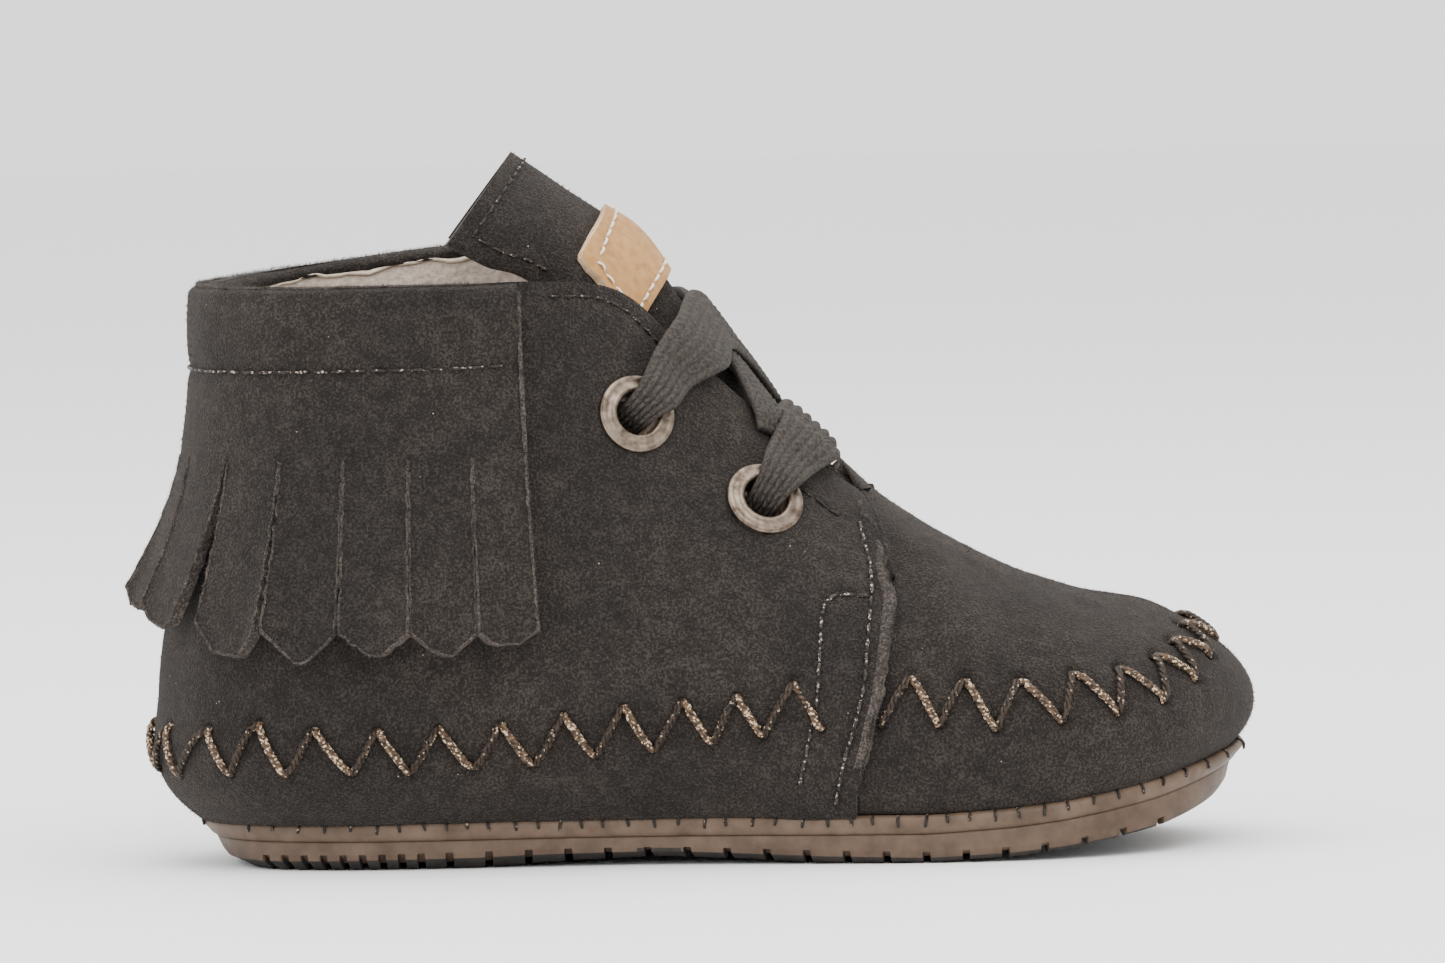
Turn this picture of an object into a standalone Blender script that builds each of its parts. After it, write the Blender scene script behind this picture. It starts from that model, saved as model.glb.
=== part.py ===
# Baby's moccasin bootie with a fringed cuff. Pieces: outsole, rand, insole, upper, tongue,
# fringed cuff, tongue label, four eyelets, and a flat lace in a bar and a crossing.
# Metres, +X to the toe, +Y to the inner side of the foot, +Z up.
import math

import bmesh
import bpy
from mathutils import Vector

COLLECTION_NAME = "baby_shoe"

# Driving sizes of the last and the upper
SHOE_LENGTH = 0.1372       # heel back to toe tip, over the upper
BALL_WIDTH = 0.0565        # widest part of the sole
COLLAR_HEIGHT = 0.0718     # rim of the collar above the ground, outer side
INNER_RISE = 0.0032        # how much higher the collar rises on the inner side
INSTEP_HEIGHT = 0.0487     # top of the vamp where the throat ends
TOE_HEIGHT = 0.0303        # top of the toe box
WALL = 0.0018              # vamp leather with its lining
FLAP_STEP = 0.0011         # quarter leather that lies over the vamp
SEAM_RIDGE = 0.0004        # how proud the moccasin seam stands
SEAM_HALF_WIDTH = 0.0017
FEATHER_INSET = 0.0012     # foot of the upper inside the edge of the rand
GAP = 0.0003               # clearance between pieces that touch

# Driving sizes of the sole
SOLE_LENGTH = 0.130
HEEL_OVERHANG = 0.005      # upper behind the back of the sole
TREAD_BEVEL = 0.0034       # how far the tread is cut in under the band
TREAD_HEIGHT = 0.0014      # dark bevelled tread
BAND_HEIGHT = 0.0020       # brown band over the tread
RAND_HEIGHT = 0.0022       # stitched band under the upper
EDGE_ROUND = 0.0007        # rounding along the edges of band and rand
TOE_SPRING = 0.0066        # lift of the sole's underside at the toe tip
ARCH_RISE = 0.0010         # lift of the tread at the waist
GROOVE_WIDTH = 0.0012
GROOVE_DEPTH = 0.0008
HEEL_GROOVES = 0.0083      # first groove, ahead of the back of the sole
HEEL_PITCH = 0.0024        # fine tread grooves under the heel
FORE_GROOVES = 0.0310      # first groove of the wider pitch
FORE_PITCH = 0.00485       # wider tread grooves from the waist forward
TOE_PLAIN = 0.0090         # end of the toe without grooves
INSOLE_THICKNESS = 0.0018
INSOLE_BEVEL = 0.0007

# Driving sizes of the tongue
TONGUE_THICKNESS = 0.0022
TONGUE_RISE = 0.0190       # how far it stands past the quarters' top corner
TONGUE_BOW = 0.0002        # how far its tip leans back
TONGUE_CROWN = 0.0078      # how far it swells out through the throat
TONGUE_HALF_WIDTH = 0.0170
TONGUE_DEPTH = 0.0150      # how far its top edges curl back
TONGUE_CLEARANCE = 0.0006

# Driving sizes of the cuff and its fringe
CUFF_THICKNESS = 0.0014
CUFF_FRONT_RIB = 5.7       # rib of the quarters along which the cuff ends
CUFF_STITCH_DROP = 0.0100  # stitch line under the collar's rim
SLIT_DROP = 0.0208         # tops of the slits under the collar's rim
FRINGE_DROP = 0.0424       # corners of the strips under the collar's rim
STRIP_POINT = 0.0027       # how far a strip's tip hangs below its corners
STRIP_PITCH = 0.0080
SLIT_WIDTH = 0.0007
FLARE_SIDE = 0.0006        # how far the tips stand off at the sides
FLARE_HEEL = 0.0026        # and at the heel
FLARE_SPREAD = 0.0200      # length round the heel over which that fades
CUFF_MEASURE = 0.0440      # height at which lengths round the cuff are measured

# Driving sizes of the eyelets, the label and the lace
EYELET_RADIUS = 0.0049
EYELET_HOLE_RADIUS = 0.0028
EYELET_WALL = 0.0005
EYELET_STEPS = 16
CUTTER_REACH = 0.0040      # how far a hole's cutter stands past the wall on each side
FLANGE_THICKNESS = 0.0009
FLANGE_SINK = 0.0003       # how deep the flange is pressed into the suede
LABEL_DROP = 0.0122        # label's upper edge below the tongue's tip, along the tongue
LABEL_HEIGHT = 0.0110
LABEL_WIDTH = 0.0250
LABEL_THICKNESS = 0.0012
LABEL_CLEARANCE = 0.0005
LACE_WIDTH = 0.0090
EYELET_LACE_WIDTH = 0.0054  # gathered at the eyelets
CROSS_END_WIDTH = 0.0062   # where a crossing strand comes out from under the quarter
LACE_THICKNESS = 0.0015
LACE_CLEARANCE = 0.0006
LACE_OVERLAP = 0.0003      # how deep the two crossing strands press together
LACE_STEPS = 4             # lengths of lace drawn between two stops
BAR_EDGE_RIB = 10.0        # rib whose top the lower bar passes over
BAR_TONGUE_ROW = 2.8       # row of the tongue that it crosses
CROSS_HIGH_RIB = 8.45      # rib whose top a strand passes over to the high eyelet
CROSS_LOW_RIB = 9.4        # rib under whose top it comes out
CROSS_TONGUE_ROW = 4.05

# Colours as linear RGB
SUEDE = (0.058, 0.047, 0.041)
BROWN_RUBBER = (0.24, 0.17, 0.13)
RAND_LEATHER = (0.27, 0.20, 0.155)
LINING = (0.55, 0.45, 0.35)
LABEL_LEATHER = (0.68, 0.43, 0.22)
EYELET_METAL = (0.42, 0.34, 0.27)
LACE_BRAID = (0.14, 0.12, 0.105)

# Outline of the sole, heel to toe
# station: share of the sole's length; outer and inner: shares of the ball width
OUTLINE = (
    # station, outer, inner
    (0.000, 0.000, 0.000),
    (0.010, 0.115, 0.115),
    (0.035, 0.216, 0.212),
    (0.078, 0.297, 0.288),
    (0.147, 0.354, 0.340),
    (0.233, 0.372, 0.347),
    (0.333, 0.372, 0.333),
    (0.426, 0.386, 0.329),
    (0.504, 0.418, 0.361),
    (0.581, 0.458, 0.418),
    (0.659, 0.494, 0.471),
    (0.736, 0.508, 0.492),
    (0.806, 0.492, 0.474),
    (0.868, 0.442, 0.428),
    (0.919, 0.370, 0.358),
    (0.959, 0.274, 0.269),
    (0.988, 0.156, 0.156),
    (1.000, 0.000, 0.000),
)

# Lift of the sole's underside along its length
# arch: share of the arch rise; spring: share of the toe spring
UNDERSIDE = (
    # station, arch, spring
    (0.00, 0.00, 0.00),
    (0.27, 0.00, 0.00),
    (0.35, 0.60, 0.00),
    (0.43, 1.00, 0.00),
    (0.51, 0.60, 0.00),
    (0.59, 0.00, 0.00),
    (0.69, 0.00, 0.00),
    (0.77, 0.00, 0.09),
    (0.815, 0.00, 0.18),
    (0.86, 0.00, 0.31),
    (0.91, 0.00, 0.50),
    (0.955, 0.00, 0.74),
    (1.00, 0.00, 1.00),
)

# Ribs of the upper, each a curve from the foot at the sole to the top line
# foot: station on the outline; top_x and the x handles: shares of the length
# top_y and the y handles: shares of the ball width; z handles: shares of the collar height
# collar, instep, toe: weights of the three heights in the top line's height
# seam: height of the moccasin seam as a share of the toe height
RIB_COLUMNS = (
    "foot", "top_x", "top_y", "collar", "instep", "toe",
    "lean", "bulge", "rise", "fore", "out", "drop", "seam",
)
QUARTER_RIBS = (
    (0.000, 0.054, 0.000, 1.00, 0.00, 0.00, -0.090, 0.000, 0.150, 0.004, 0.000, 0.480, 0.45),
    (0.010, 0.060, 0.142, 1.00, 0.00, 0.00, -0.080, 0.097, 0.150, 0.004, -0.018, 0.480, 0.46),
    (0.035, 0.079, 0.258, 1.00, 0.00, 0.00, -0.058, 0.168, 0.150, 0.002, -0.027, 0.465, 0.47),
    (0.100, 0.125, 0.354, 1.00, 0.00, 0.00, -0.026, 0.212, 0.150, 0.000, -0.035, 0.437, 0.49),
    (0.190, 0.199, 0.393, 1.00, 0.00, 0.00, -0.007, 0.221, 0.157, 0.000, -0.035, 0.423, 0.49),
    (0.280, 0.279, 0.389, 1.00, 0.00, 0.00, 0.000, 0.221, 0.164, 0.000, -0.018, 0.409, 0.50),
    (0.360, 0.353, 0.350, 1.00, 0.00, 0.00, 0.000, 0.221, 0.177, 0.007, 0.018, 0.382, 0.54),
    (0.430, 0.419, 0.274, 0.93, 0.07, 0.00, 0.000, 0.212, 0.191, 0.022, 0.088, 0.327, 0.57),
    (0.490, 0.468, 0.195, 0.66, 0.34, 0.00, 0.000, 0.204, 0.205, 0.029, 0.142, 0.246, 0.61),
    (0.540, 0.524, 0.165, 0.34, 0.66, 0.00, 0.007, 0.195, 0.211, 0.037, 0.177, 0.177, 0.64),
    (0.585, 0.581, 0.154, 0.03, 0.97, 0.00, 0.015, 0.177, 0.218, 0.037, 0.195, 0.136, 0.66),
    (0.622, 0.635, 0.145, 0.00, 0.73, 0.27, 0.022, 0.159, 0.232, 0.040, 0.195, 0.090, 0.69),
)
TAB_RIBS = (
    (0.626, 0.638, 0.142, 0.00, 0.725, 0.275, 0.022, 0.159, 0.232, 0.040, 0.195, 0.090, 0.69),
    (0.667, 0.631, 0.076, 0.00, 0.870, 0.130, 0.015, 0.159, 0.232, 0.040, 0.205, 0.080, 0.69),
    (0.710, 0.620, 0.000, 0.00, 1.000, 0.000, 0.011, 0.150, 0.225, 0.037, 0.230, 0.075, 0.69),
)
VAMP_RIBS = (
    (0.710, 0.620, 0.000, 0.00, 1.000, 0.000, 0.011, 0.150, 0.225, 0.037, 0.230, 0.075, 0.69),
    (0.755, 0.665, 0.000, 0.00, 0.678, 0.322, 0.015, 0.150, 0.218, 0.030, 0.283, 0.042, 0.69),
    (0.800, 0.717, 0.000, 0.00, 0.414, 0.586, 0.018, 0.142, 0.205, 0.040, 0.318, 0.045, 0.70),
    (0.845, 0.761, 0.000, 0.00, 0.224, 0.776, 0.026, 0.133, 0.177, 0.066, 0.318, 0.050, 0.71),
    (0.890, 0.794, 0.000, 0.00, 0.115, 0.885, 0.037, 0.115, 0.150, 0.096, 0.283, 0.050, 0.74),
    (0.930, 0.816, 0.000, 0.00, 0.052, 0.948, 0.044, 0.088, 0.123, 0.125, 0.221, 0.040, 0.78),
    (0.965, 0.831, 0.000, 0.00, 0.023, 0.977, 0.044, 0.062, 0.102, 0.147, 0.150, 0.025, 0.84),
    (0.988, 0.838, 0.000, 0.00, 0.006, 0.994, 0.042, 0.035, 0.080, 0.155, 0.080, 0.012, 0.89),
    (1.000, 0.841, 0.000, 0.00, 0.000, 1.000, 0.040, 0.000, 0.068, 0.159, 0.000, 0.000, 0.92),
)
ODD_COLUMNS = ("top_y", "bulge", "out")

OUTER = -1
INNER = 1
FINE = 2                   # ribs drawn between two rows of a table
BELOW_SEAM = 3             # levels from the foot to the seam
ABOVE_SEAM = 7             # levels from the seam to the top line


# Section of a tread groove: shares of its width and depth
GROOVE_SECTION = (
    # along, depth
    (-0.5, 0.0),
    (0.0, 1.0),
    (0.5, 0.0),
)

# Rows of the tongue under the vamp, from its foot to the end of the throat
BURIED_ROWS = (
    # row of the vamp table, clearance in clearances of the tongue
    (0.9, 1.0),
    (0.3, 1.2),
)
BURIED_SHARES = (0.84, 0.90, 0.96)  # shares along the vamp's rib, edge of the tongue first
# Rows of the tongue in the throat, up to the quarters' top corner
# rib: row of the quarter table that the throat's edge has there
# under: share along the rib at which the tongue's edge lies; crown: share of the crown
THROAT_ROWS = (
    # rib, under, crown
    (10.4, 0.86, 0.20),
    (9.8, 0.84, 0.46),
    (9.0, 0.84, 0.62),
    (8.0, 0.85, 0.82),
    (7.2, 0.87, 1.00),
)
# Rows of the tongue above the quarters: shares of its rise, half width and depth
FREE_ROWS = (
    # rise, half width, depth
    (0.35, 0.86, 0.86),
    (0.70, 0.95, 0.96),
    (1.00, 1.00, 1.00),
)
# Points across half the tongue: share of the way under the quarter, and clearance
TUCK = (
    # way, clearances
    (1.0, 1.0),
    (0.5, 1.4),
    (0.0, 2.4),
)
TONGUE_ARC = 12            # faces across the tongue
TONGUE_SWEEP = math.radians(84)

# Eyelets on each quarter: shares of the shoe's length and of the collar height
EYELETS = (
    # name, x, z
    ("low", 0.549, 0.611),
    ("high", 0.436, 0.766),
)
# Stops of a lace from its eyelet to the throat's edge
EDGE_STOPS = (
    # way, raised in thicknesses of the lace, share of its width
    (0.50, 0.45, 0.75),
    (1.00, 0.65, 0.95),
)


def blend_rows(rows, at, odd=(), mirror_start=False, mirror_end=False):
    """Smooth values between table rows at a fractional row number.

    Past a mirrored end the rows repeat with their odd columns negated; past
    any other end they run straight on.
    """
    last = len(rows) - 1
    first = min(int(math.floor(at)), last - 1)
    share = at - first

    def beyond(end, neighbour, mirrored):
        if mirrored:
            return [-value if column in odd else value for column, value in enumerate(neighbour)]
        return [2 * here - there for here, there in zip(end, neighbour)]

    before_row = rows[first - 1] if first > 0 else beyond(rows[0], rows[1], mirror_start)
    after_row = rows[first + 2] if first + 2 <= last else beyond(rows[last], rows[last - 1], mirror_end)
    result = []
    for before, low, high, after in zip(before_row, rows[first], rows[first + 1], after_row):
        start = (high - before) / 2
        end = (after - low) / 2
        cube = 2 * low - 2 * high + start + end
        square = 3 * high - 3 * low - 2 * start - end
        result.append(((cube * share + square) * share + start) * share + low)
    return result


def outline_at(row):
    """Station and the two half widths of the sole's outline at a fractional row."""
    return blend_rows(OUTLINE, row, (1, 2), True, True)


def row_of_station(station):
    """Fractional row of the outline that lies at a station."""
    low = 0.0
    high = float(len(OUTLINE) - 1)
    for _ in range(40):
        middle = (low + high) / 2
        if outline_at(middle)[0] < station:
            low = middle
        else:
            high = middle
    return (low + high) / 2


def underside(station, arch_share=0.0):
    """Height of the sole's underside above the ground, with this share of the arch."""
    at = 0.0
    for index in range(len(UNDERSIDE) - 1):
        low = UNDERSIDE[index]
        high = UNDERSIDE[index + 1]
        if low[0] <= station <= high[0]:
            share = (station - low[0]) / (high[0] - low[0])
            arch = low[1] + (high[1] - low[1]) * share
            spring = low[2] + (high[2] - low[2]) * share
            at = arch * arch_share * ARCH_RISE + spring * TOE_SPRING
    return at


def edge_point(side, row, inset):
    """Point of the sole's edge in plan, moved in from the edge by the inset."""
    def raw(at):
        station, outer, inner = outline_at(at)
        width = outer if side == OUTER else inner
        return Vector((HEEL_OVERHANG + station * SOLE_LENGTH, side * width * BALL_WIDTH))

    step = 0.05
    last = len(OUTLINE) - 1
    if row < step or row > last - step:
        inward = Vector((1.0 if row < step else -1.0, 0.0))
    else:
        along = (raw(row + step) - raw(row - step)).normalized()
        inward = Vector((-along.y, along.x)) * -side
    return raw(row) + inward * inset


def rand_top(station):
    return underside(station) + TREAD_HEIGHT + BAND_HEIGHT + GAP + RAND_HEIGHT


def rib(side, rows, at):
    """Four control points of one rib of the upper, and its seam height."""
    odd = [RIB_COLUMNS.index(name) for name in ODD_COLUMNS]
    blended = blend_rows(rows, at, odd, rows is QUARTER_RIBS, rows is VAMP_RIBS)
    values = dict(zip(RIB_COLUMNS, blended))
    station = min(max(values["foot"], 0.0), 1.0)
    foot_row = row_of_station(station)
    foot_plan = edge_point(side, foot_row, FEATHER_INSET)
    foot = Vector((foot_plan.x, foot_plan.y, rand_top(station) + GAP))
    top_z = values["collar"] * COLLAR_HEIGHT + values["instep"] * INSTEP_HEIGHT + values["toe"] * TOE_HEIGHT
    if side == INNER and rows is QUARTER_RIBS:
        top_z += INNER_RISE * math.sin(math.pi * at / (len(rows) - 1)) ** 2
    top = Vector((values["top_x"] * SHOE_LENGTH, side * values["top_y"] * BALL_WIDTH, top_z))
    low_handle = foot + Vector((
        values["lean"] * SHOE_LENGTH,
        side * values["bulge"] * BALL_WIDTH,
        values["rise"] * COLLAR_HEIGHT,
    ))
    top_handle = top + Vector((
        values["fore"] * SHOE_LENGTH,
        side * values["out"] * BALL_WIDTH,
        -values["drop"] * COLLAR_HEIGHT,
    ))
    return (foot, low_handle, top_handle, top), values["seam"] * TOE_HEIGHT


def on_rib(points, share):
    """Point of a cubic curve."""
    rest = 1 - share
    weights = (rest ** 3, 3 * rest ** 2 * share, 3 * rest * share ** 2, share ** 3)
    total = Vector((0.0, 0.0, 0.0))
    for weight, point in zip(weights, points):
        total += point * weight
    return total


def share_at_height(points, height):
    """Share along a rib at which it reaches a height."""
    low = 0.0
    high = 1.0
    for _ in range(30):
        middle = (low + high) / 2
        if on_rib(points, middle).z < height:
            low = middle
        else:
            high = middle
    return (low + high) / 2


def rib_levels(points, seam):
    """Shares along a rib for its mesh rows, with how proud the seam is at each."""
    shares = [0.0]
    below = share_at_height(points, seam - SEAM_HALF_WIDTH)
    middle = share_at_height(points, seam)
    above = share_at_height(points, seam + SEAM_HALF_WIDTH)
    for step in range(1, BELOW_SEAM):
        shares.append(below * step / BELOW_SEAM)
    shares += [below, middle, above]
    for step in range(1, ABOVE_SEAM + 1):
        shares.append(above + (1 - above) * step / ABOVE_SEAM)
    ridge = [SEAM_RIDGE if share == middle else 0.0 for share in shares]
    return shares, ridge


def rib_panels():
    """Table, row and flap step of each rib, heel to toe."""
    panels = []
    for rows, step, skipped in ((QUARTER_RIBS, FLAP_STEP, 0), (TAB_RIBS, 0.0, 0), (VAMP_RIBS, 0.0, 1)):
        for index in range(skipped, (len(rows) - 1) * FINE + 1):
            panels.append((rows, index / FINE, step))
    return panels


def make_material(name, colour, roughness, metallic):
    material = bpy.data.materials.new(name + "_material")
    material.use_nodes = True
    shader = material.node_tree.nodes["Principled BSDF"]
    shader.inputs["Base Color"].default_value = (*colour, 1.0)
    shader.inputs["Roughness"].default_value = roughness
    shader.inputs["Metallic"].default_value = metallic
    return material


def make_object(name, mesh_maker, colour, roughness):
    """Object of a bmesh, in the shoe's collection, with its own material."""
    mesh = bpy.data.meshes.new(name)
    mesh_maker.to_mesh(mesh)
    mesh_maker.free()
    mesh.materials.append(make_material(name, colour, roughness, 0.0))
    mesh.shade_smooth()
    mesh.set_sharp_from_angle(angle=math.radians(35))
    piece = bpy.data.objects.new(name, mesh)
    bpy.data.collections[COLLECTION_NAME].objects.link(piece)
    return piece


def thicken(sheet, inward, outward):
    """Closed shell of an open sheet: outward is a thickness for each vertex."""
    sheet.normal_update()
    border = {vertex for edge in sheet.edges if edge.is_boundary for vertex in edge.verts}
    shell = bmesh.new()
    pairs = {}
    for vertex in sheet.verts:
        normal = vertex.normal.copy()
        if vertex in border and outward[vertex][1]:
            normal.z = 0.0
            normal.normalize()
        outside = shell.verts.new(vertex.co + normal * outward[vertex][0])
        inside = shell.verts.new(vertex.co - normal * inward)
        pairs[vertex] = (outside, inside)
    for face in sheet.faces:
        corners = list(face.verts)
        shell.faces.new([pairs[vertex][0] for vertex in corners])
        shell.faces.new([pairs[vertex][1] for vertex in reversed(corners)])
    for edge in sheet.edges:
        if edge.is_boundary:
            loop = edge.link_loops[0]
            start = loop.vert
            end = loop.link_loop_next.vert
            shell.faces.new((pairs[end][0], pairs[start][0], pairs[start][1], pairs[end][1]))
    sheet.free()
    bmesh.ops.recalc_face_normals(shell, faces=shell.faces)
    return shell


def upper_sheet():
    """Open sheet of the upper, with how proud each vertex stands."""
    sheet = bmesh.new()
    placed = {}
    proud = {}

    def vertex_at(place, stands, at_foot):
        key = tuple(round(value, 7) for value in place)
        if key not in placed:
            placed[key] = sheet.verts.new(place)
            proud[placed[key]] = (stands, at_foot)
        return placed[key]

    for side in (OUTER, INNER):
        columns = []
        for rows, at, step in rib_panels():
            points, seam = rib(side, rows, at)
            shares, ridge = rib_levels(points, seam)
            columns.append([
                vertex_at(on_rib(points, share), step + bump, share == 0.0)
                for share, bump in zip(shares, ridge)
            ])
        for left, right in zip(columns, columns[1:]):
            for level in range(len(left) - 1):
                corners = [left[level], right[level], right[level + 1], left[level + 1]]
                if side == INNER:
                    corners.reverse()
                unlike = list(dict.fromkeys(corners))
                if len(unlike) > 2:
                    sheet.faces.new(unlike)
    return sheet, proud


def build_upper():
    sheet, proud = upper_sheet()
    return make_object("upper", thicken(sheet, WALL, proud), SUEDE, 0.95)


def groove_places():
    """Places of the tread grooves along the sole, from its back."""
    places = []
    at = HEEL_GROOVES
    while at < FORE_GROOVES - HEEL_PITCH:
        places.append(at)
        at += HEEL_PITCH
    at = FORE_GROOVES
    while at < SOLE_LENGTH - TOE_PLAIN:
        places.append(at)
        at += FORE_PITCH
    return places


def sole_stations(with_grooves):
    """Stations along the sole, each with how far a groove is cut there."""
    stations = []
    last = len(OUTLINE) - 1
    for index in range(last * FINE + 1):
        stations.append((outline_at(index / FINE)[0], 0.0))
    if with_grooves:
        kept = []
        cuts = []
        for place in groove_places():
            for shift, depth in GROOVE_SECTION:
                station = (place + shift * GROOVE_WIDTH) / SOLE_LENGTH
                cuts.append((station, depth * GROOVE_DEPTH))
        for station, depth in stations:
            near = min(abs(station - cut[0]) for cut in cuts)
            if near * SOLE_LENGTH > GROOVE_WIDTH:
                kept.append((station, depth))
        stations = sorted(kept + cuts)
    return stations


def sole_solid(layers, with_grooves=False):
    """Closed solid of stacked outlines.

    A layer is its inset, its height, and its shares of the grooves and of the arch.
    """
    solid = bmesh.new()
    rings = []
    for station, cut in sole_stations(with_grooves):
        row = row_of_station(station)
        at_end = station <= 0.0 or station >= 1.0
        ring = []
        for inset, height, groove_share, arch_share in layers:
            z = underside(station, arch_share) + height + cut * groove_share
            outer = edge_point(OUTER, row, inset)
            inner = edge_point(INNER, row, inset)
            first = solid.verts.new((outer.x, outer.y, z))
            second = first if at_end else solid.verts.new((inner.x, inner.y, z))
            ring.append((first, second))
        rings.append(ring)

    def face(corners):
        unlike = list(dict.fromkeys(corners))
        if len(unlike) > 2:
            solid.faces.new(unlike)

    for here, there in zip(rings, rings[1:]):
        for low, high in zip(range(len(layers) - 1), range(1, len(layers))):
            face((here[low][0], there[low][0], there[high][0], here[high][0]))
            face((there[low][1], here[low][1], here[high][1], there[high][1]))
        face((here[0][0], here[0][1], there[0][1], there[0][0]))
        face((here[-1][0], there[-1][0], there[-1][1], here[-1][1]))
    bmesh.ops.recalc_face_normals(solid, faces=solid.faces)
    return solid


def build_outsole():
    band_top = TREAD_HEIGHT + BAND_HEIGHT
    layers = (
        (TREAD_BEVEL, 0.0, 1.0, 1.0),
        (EDGE_ROUND / 2, TREAD_HEIGHT, 1.0, 0.5),
        (0.0, TREAD_HEIGHT + GROOVE_DEPTH + GAP, 0.0, 0.2),
        (0.0, band_top - EDGE_ROUND / 2, 0.0, 0.0),
        (EDGE_ROUND / 2, band_top, 0.0, 0.0),
    )
    return make_object("outsole", sole_solid(layers, True), BROWN_RUBBER, 0.7)


def build_rand():
    bottom = TREAD_HEIGHT + BAND_HEIGHT + GAP
    layers = (
        (EDGE_ROUND, bottom, 0.0, 0.0),
        (0.0, bottom + EDGE_ROUND, 0.0, 0.0),
        (0.0, bottom + RAND_HEIGHT - EDGE_ROUND, 0.0, 0.0),
        (EDGE_ROUND, bottom + RAND_HEIGHT, 0.0, 0.0),
    )
    return make_object("rand", sole_solid(layers), RAND_LEATHER, 0.6)


def build_insole():
    inset = FEATHER_INSET + WALL + 2 * GAP
    bottom = TREAD_HEIGHT + BAND_HEIGHT + GAP + RAND_HEIGHT + GAP
    layers = (
        (inset, bottom, 0.0, 0.0),
        (inset, bottom + INSOLE_THICKNESS - INSOLE_BEVEL, 0.0, 0.0),
        (inset + INSOLE_BEVEL, bottom + INSOLE_THICKNESS, 0.0, 0.0),
    )
    return make_object("insole", sole_solid(layers), LINING, 0.9)


def outside(side, rows, at, share):
    """Point of the upper's base surface and its outward direction."""
    step = 0.02
    points = rib(side, rows, at)[0]
    here = on_rib(points, share)
    if share > step:
        along = here - on_rib(points, share - step)
    else:
        along = on_rib(points, share + step) - here
    across = on_rib(rib(side, rows, at + step)[0], share) - on_rib(rib(side, rows, at - step)[0], share)
    outward = across.cross(along).normalized() * -side
    return here, outward


def lining_point(side, rows, at, share, clearance):
    """Point inside the upper, this clear of its lining."""
    here, outward = outside(side, rows, at, share)
    return here - outward * (WALL + clearance)


def quarter_point(side, at, share, clearance):
    """Point outside the quarter, this clear of its suede."""
    here, outward = outside(side, QUARTER_RIBS, at, share)
    return here + outward * (FLAP_STEP + clearance)


def buried_section(at, clearances):
    """Points across the tongue where the vamp covers it."""
    clearance = clearances * TONGUE_CLEARANCE
    outer = [lining_point(OUTER, VAMP_RIBS, at, share, clearance) for share in BURIED_SHARES]
    inner = [lining_point(INNER, VAMP_RIBS, at, share, clearance) for share in BURIED_SHARES[::-1]]
    ridge = lining_point(OUTER, VAMP_RIBS, at, 1.0, clearance)
    ridge.y = 0.0
    return outer + [ridge] + inner


def throat_section(at, under, crown):
    """Points across the tongue in the throat, with its centre and directions."""
    outer = []
    inner = []
    for way, clearances in TUCK:
        share = 1 - (1 - under) * way
        clearance = clearances * TONGUE_CLEARANCE
        outer.append(lining_point(OUTER, QUARTER_RIBS, at, share, clearance))
        inner.append(lining_point(INNER, QUARTER_RIBS, at, share, clearance))
    low = rib(OUTER, QUARTER_RIBS, at + 0.3)[0][3]
    high = rib(OUTER, QUARTER_RIBS, at - 0.3)[0][3]
    along = Vector((high.x - low.x, 0.0, high.z - low.z)).normalized()
    outward = Vector((along.z, 0.0, -along.x))
    centre = (outer[-1] + inner[-1]) / 2 + outward * crown * TONGUE_CROWN
    return outer + [centre] + inner[::-1], centre, along, outward


def spread(key):
    """Evenly counted points on a smooth curve through the key points."""
    rows = [tuple(point) for point in key]
    count = len(rows) - 1
    return [Vector(blend_rows(rows, count * step / TONGUE_ARC)) for step in range(TONGUE_ARC + 1)]


def tongue_sections():
    """Rows of points across the tongue's outer face, foot to tip."""
    sections = [spread(buried_section(at, clearances)) for at, clearances in BURIED_ROWS]
    for at, under, crown in THROAT_ROWS:
        key, centre, along, outward = throat_section(at, under, crown)
        sections.append(spread(key))
    for rise, width, depth in FREE_ROWS:
        base = centre + along * rise * TONGUE_RISE - outward * rise ** 2 * TONGUE_BOW
        row = []
        for step in range(TONGUE_ARC + 1):
            turn = TONGUE_SWEEP * (2 * step / TONGUE_ARC - 1)
            across = Vector((0.0, math.sin(turn) * width * TONGUE_HALF_WIDTH, 0.0))
            row.append(base + across - outward * (1 - math.cos(turn)) * depth * TONGUE_DEPTH)
        sections.append(row)
    return sections


def tongue_surface(row, across, sections):
    """Point of the tongue's outer face; across runs from 0 to 1."""
    step = across * TONGUE_ARC
    first = min(int(step), TONGUE_ARC - 1)
    low = Vector(blend_rows([tuple(section[first]) for section in sections], row))
    high = Vector(blend_rows([tuple(section[first + 1]) for section in sections], row))
    return low.lerp(high, step - first)


def walk(curve, start, end, length):
    """Parameter between start and end at which a curve has run a length."""
    count = 400
    run = 0.0
    last = curve(start)
    for index in range(1, count + 1):
        at = start + (end - start) * index / count
        here = curve(at)
        run += (here - last).length
        if run >= length:
            return at
        last = here
    return end


def make_shell(name, sheet, thickness, towards, colour, roughness):
    """Object of an open sheet thickened to one side: 1 along its normals, -1 against them."""
    piece = make_object(name, sheet, colour, roughness)
    wall = piece.modifiers.new("wall", "SOLIDIFY")
    wall.thickness = thickness
    wall.offset = towards
    return piece


def build_tongue():
    sheet = bmesh.new()
    rows = [[sheet.verts.new(point) for point in section] for section in tongue_sections()]
    for low, high in zip(rows, rows[1:]):
        for step in range(TONGUE_ARC):
            sheet.faces.new((low[step], low[step + 1], high[step + 1], high[step]))
    return make_shell("tongue", sheet, TONGUE_THICKNESS, -1, SUEDE, 0.95)


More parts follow.
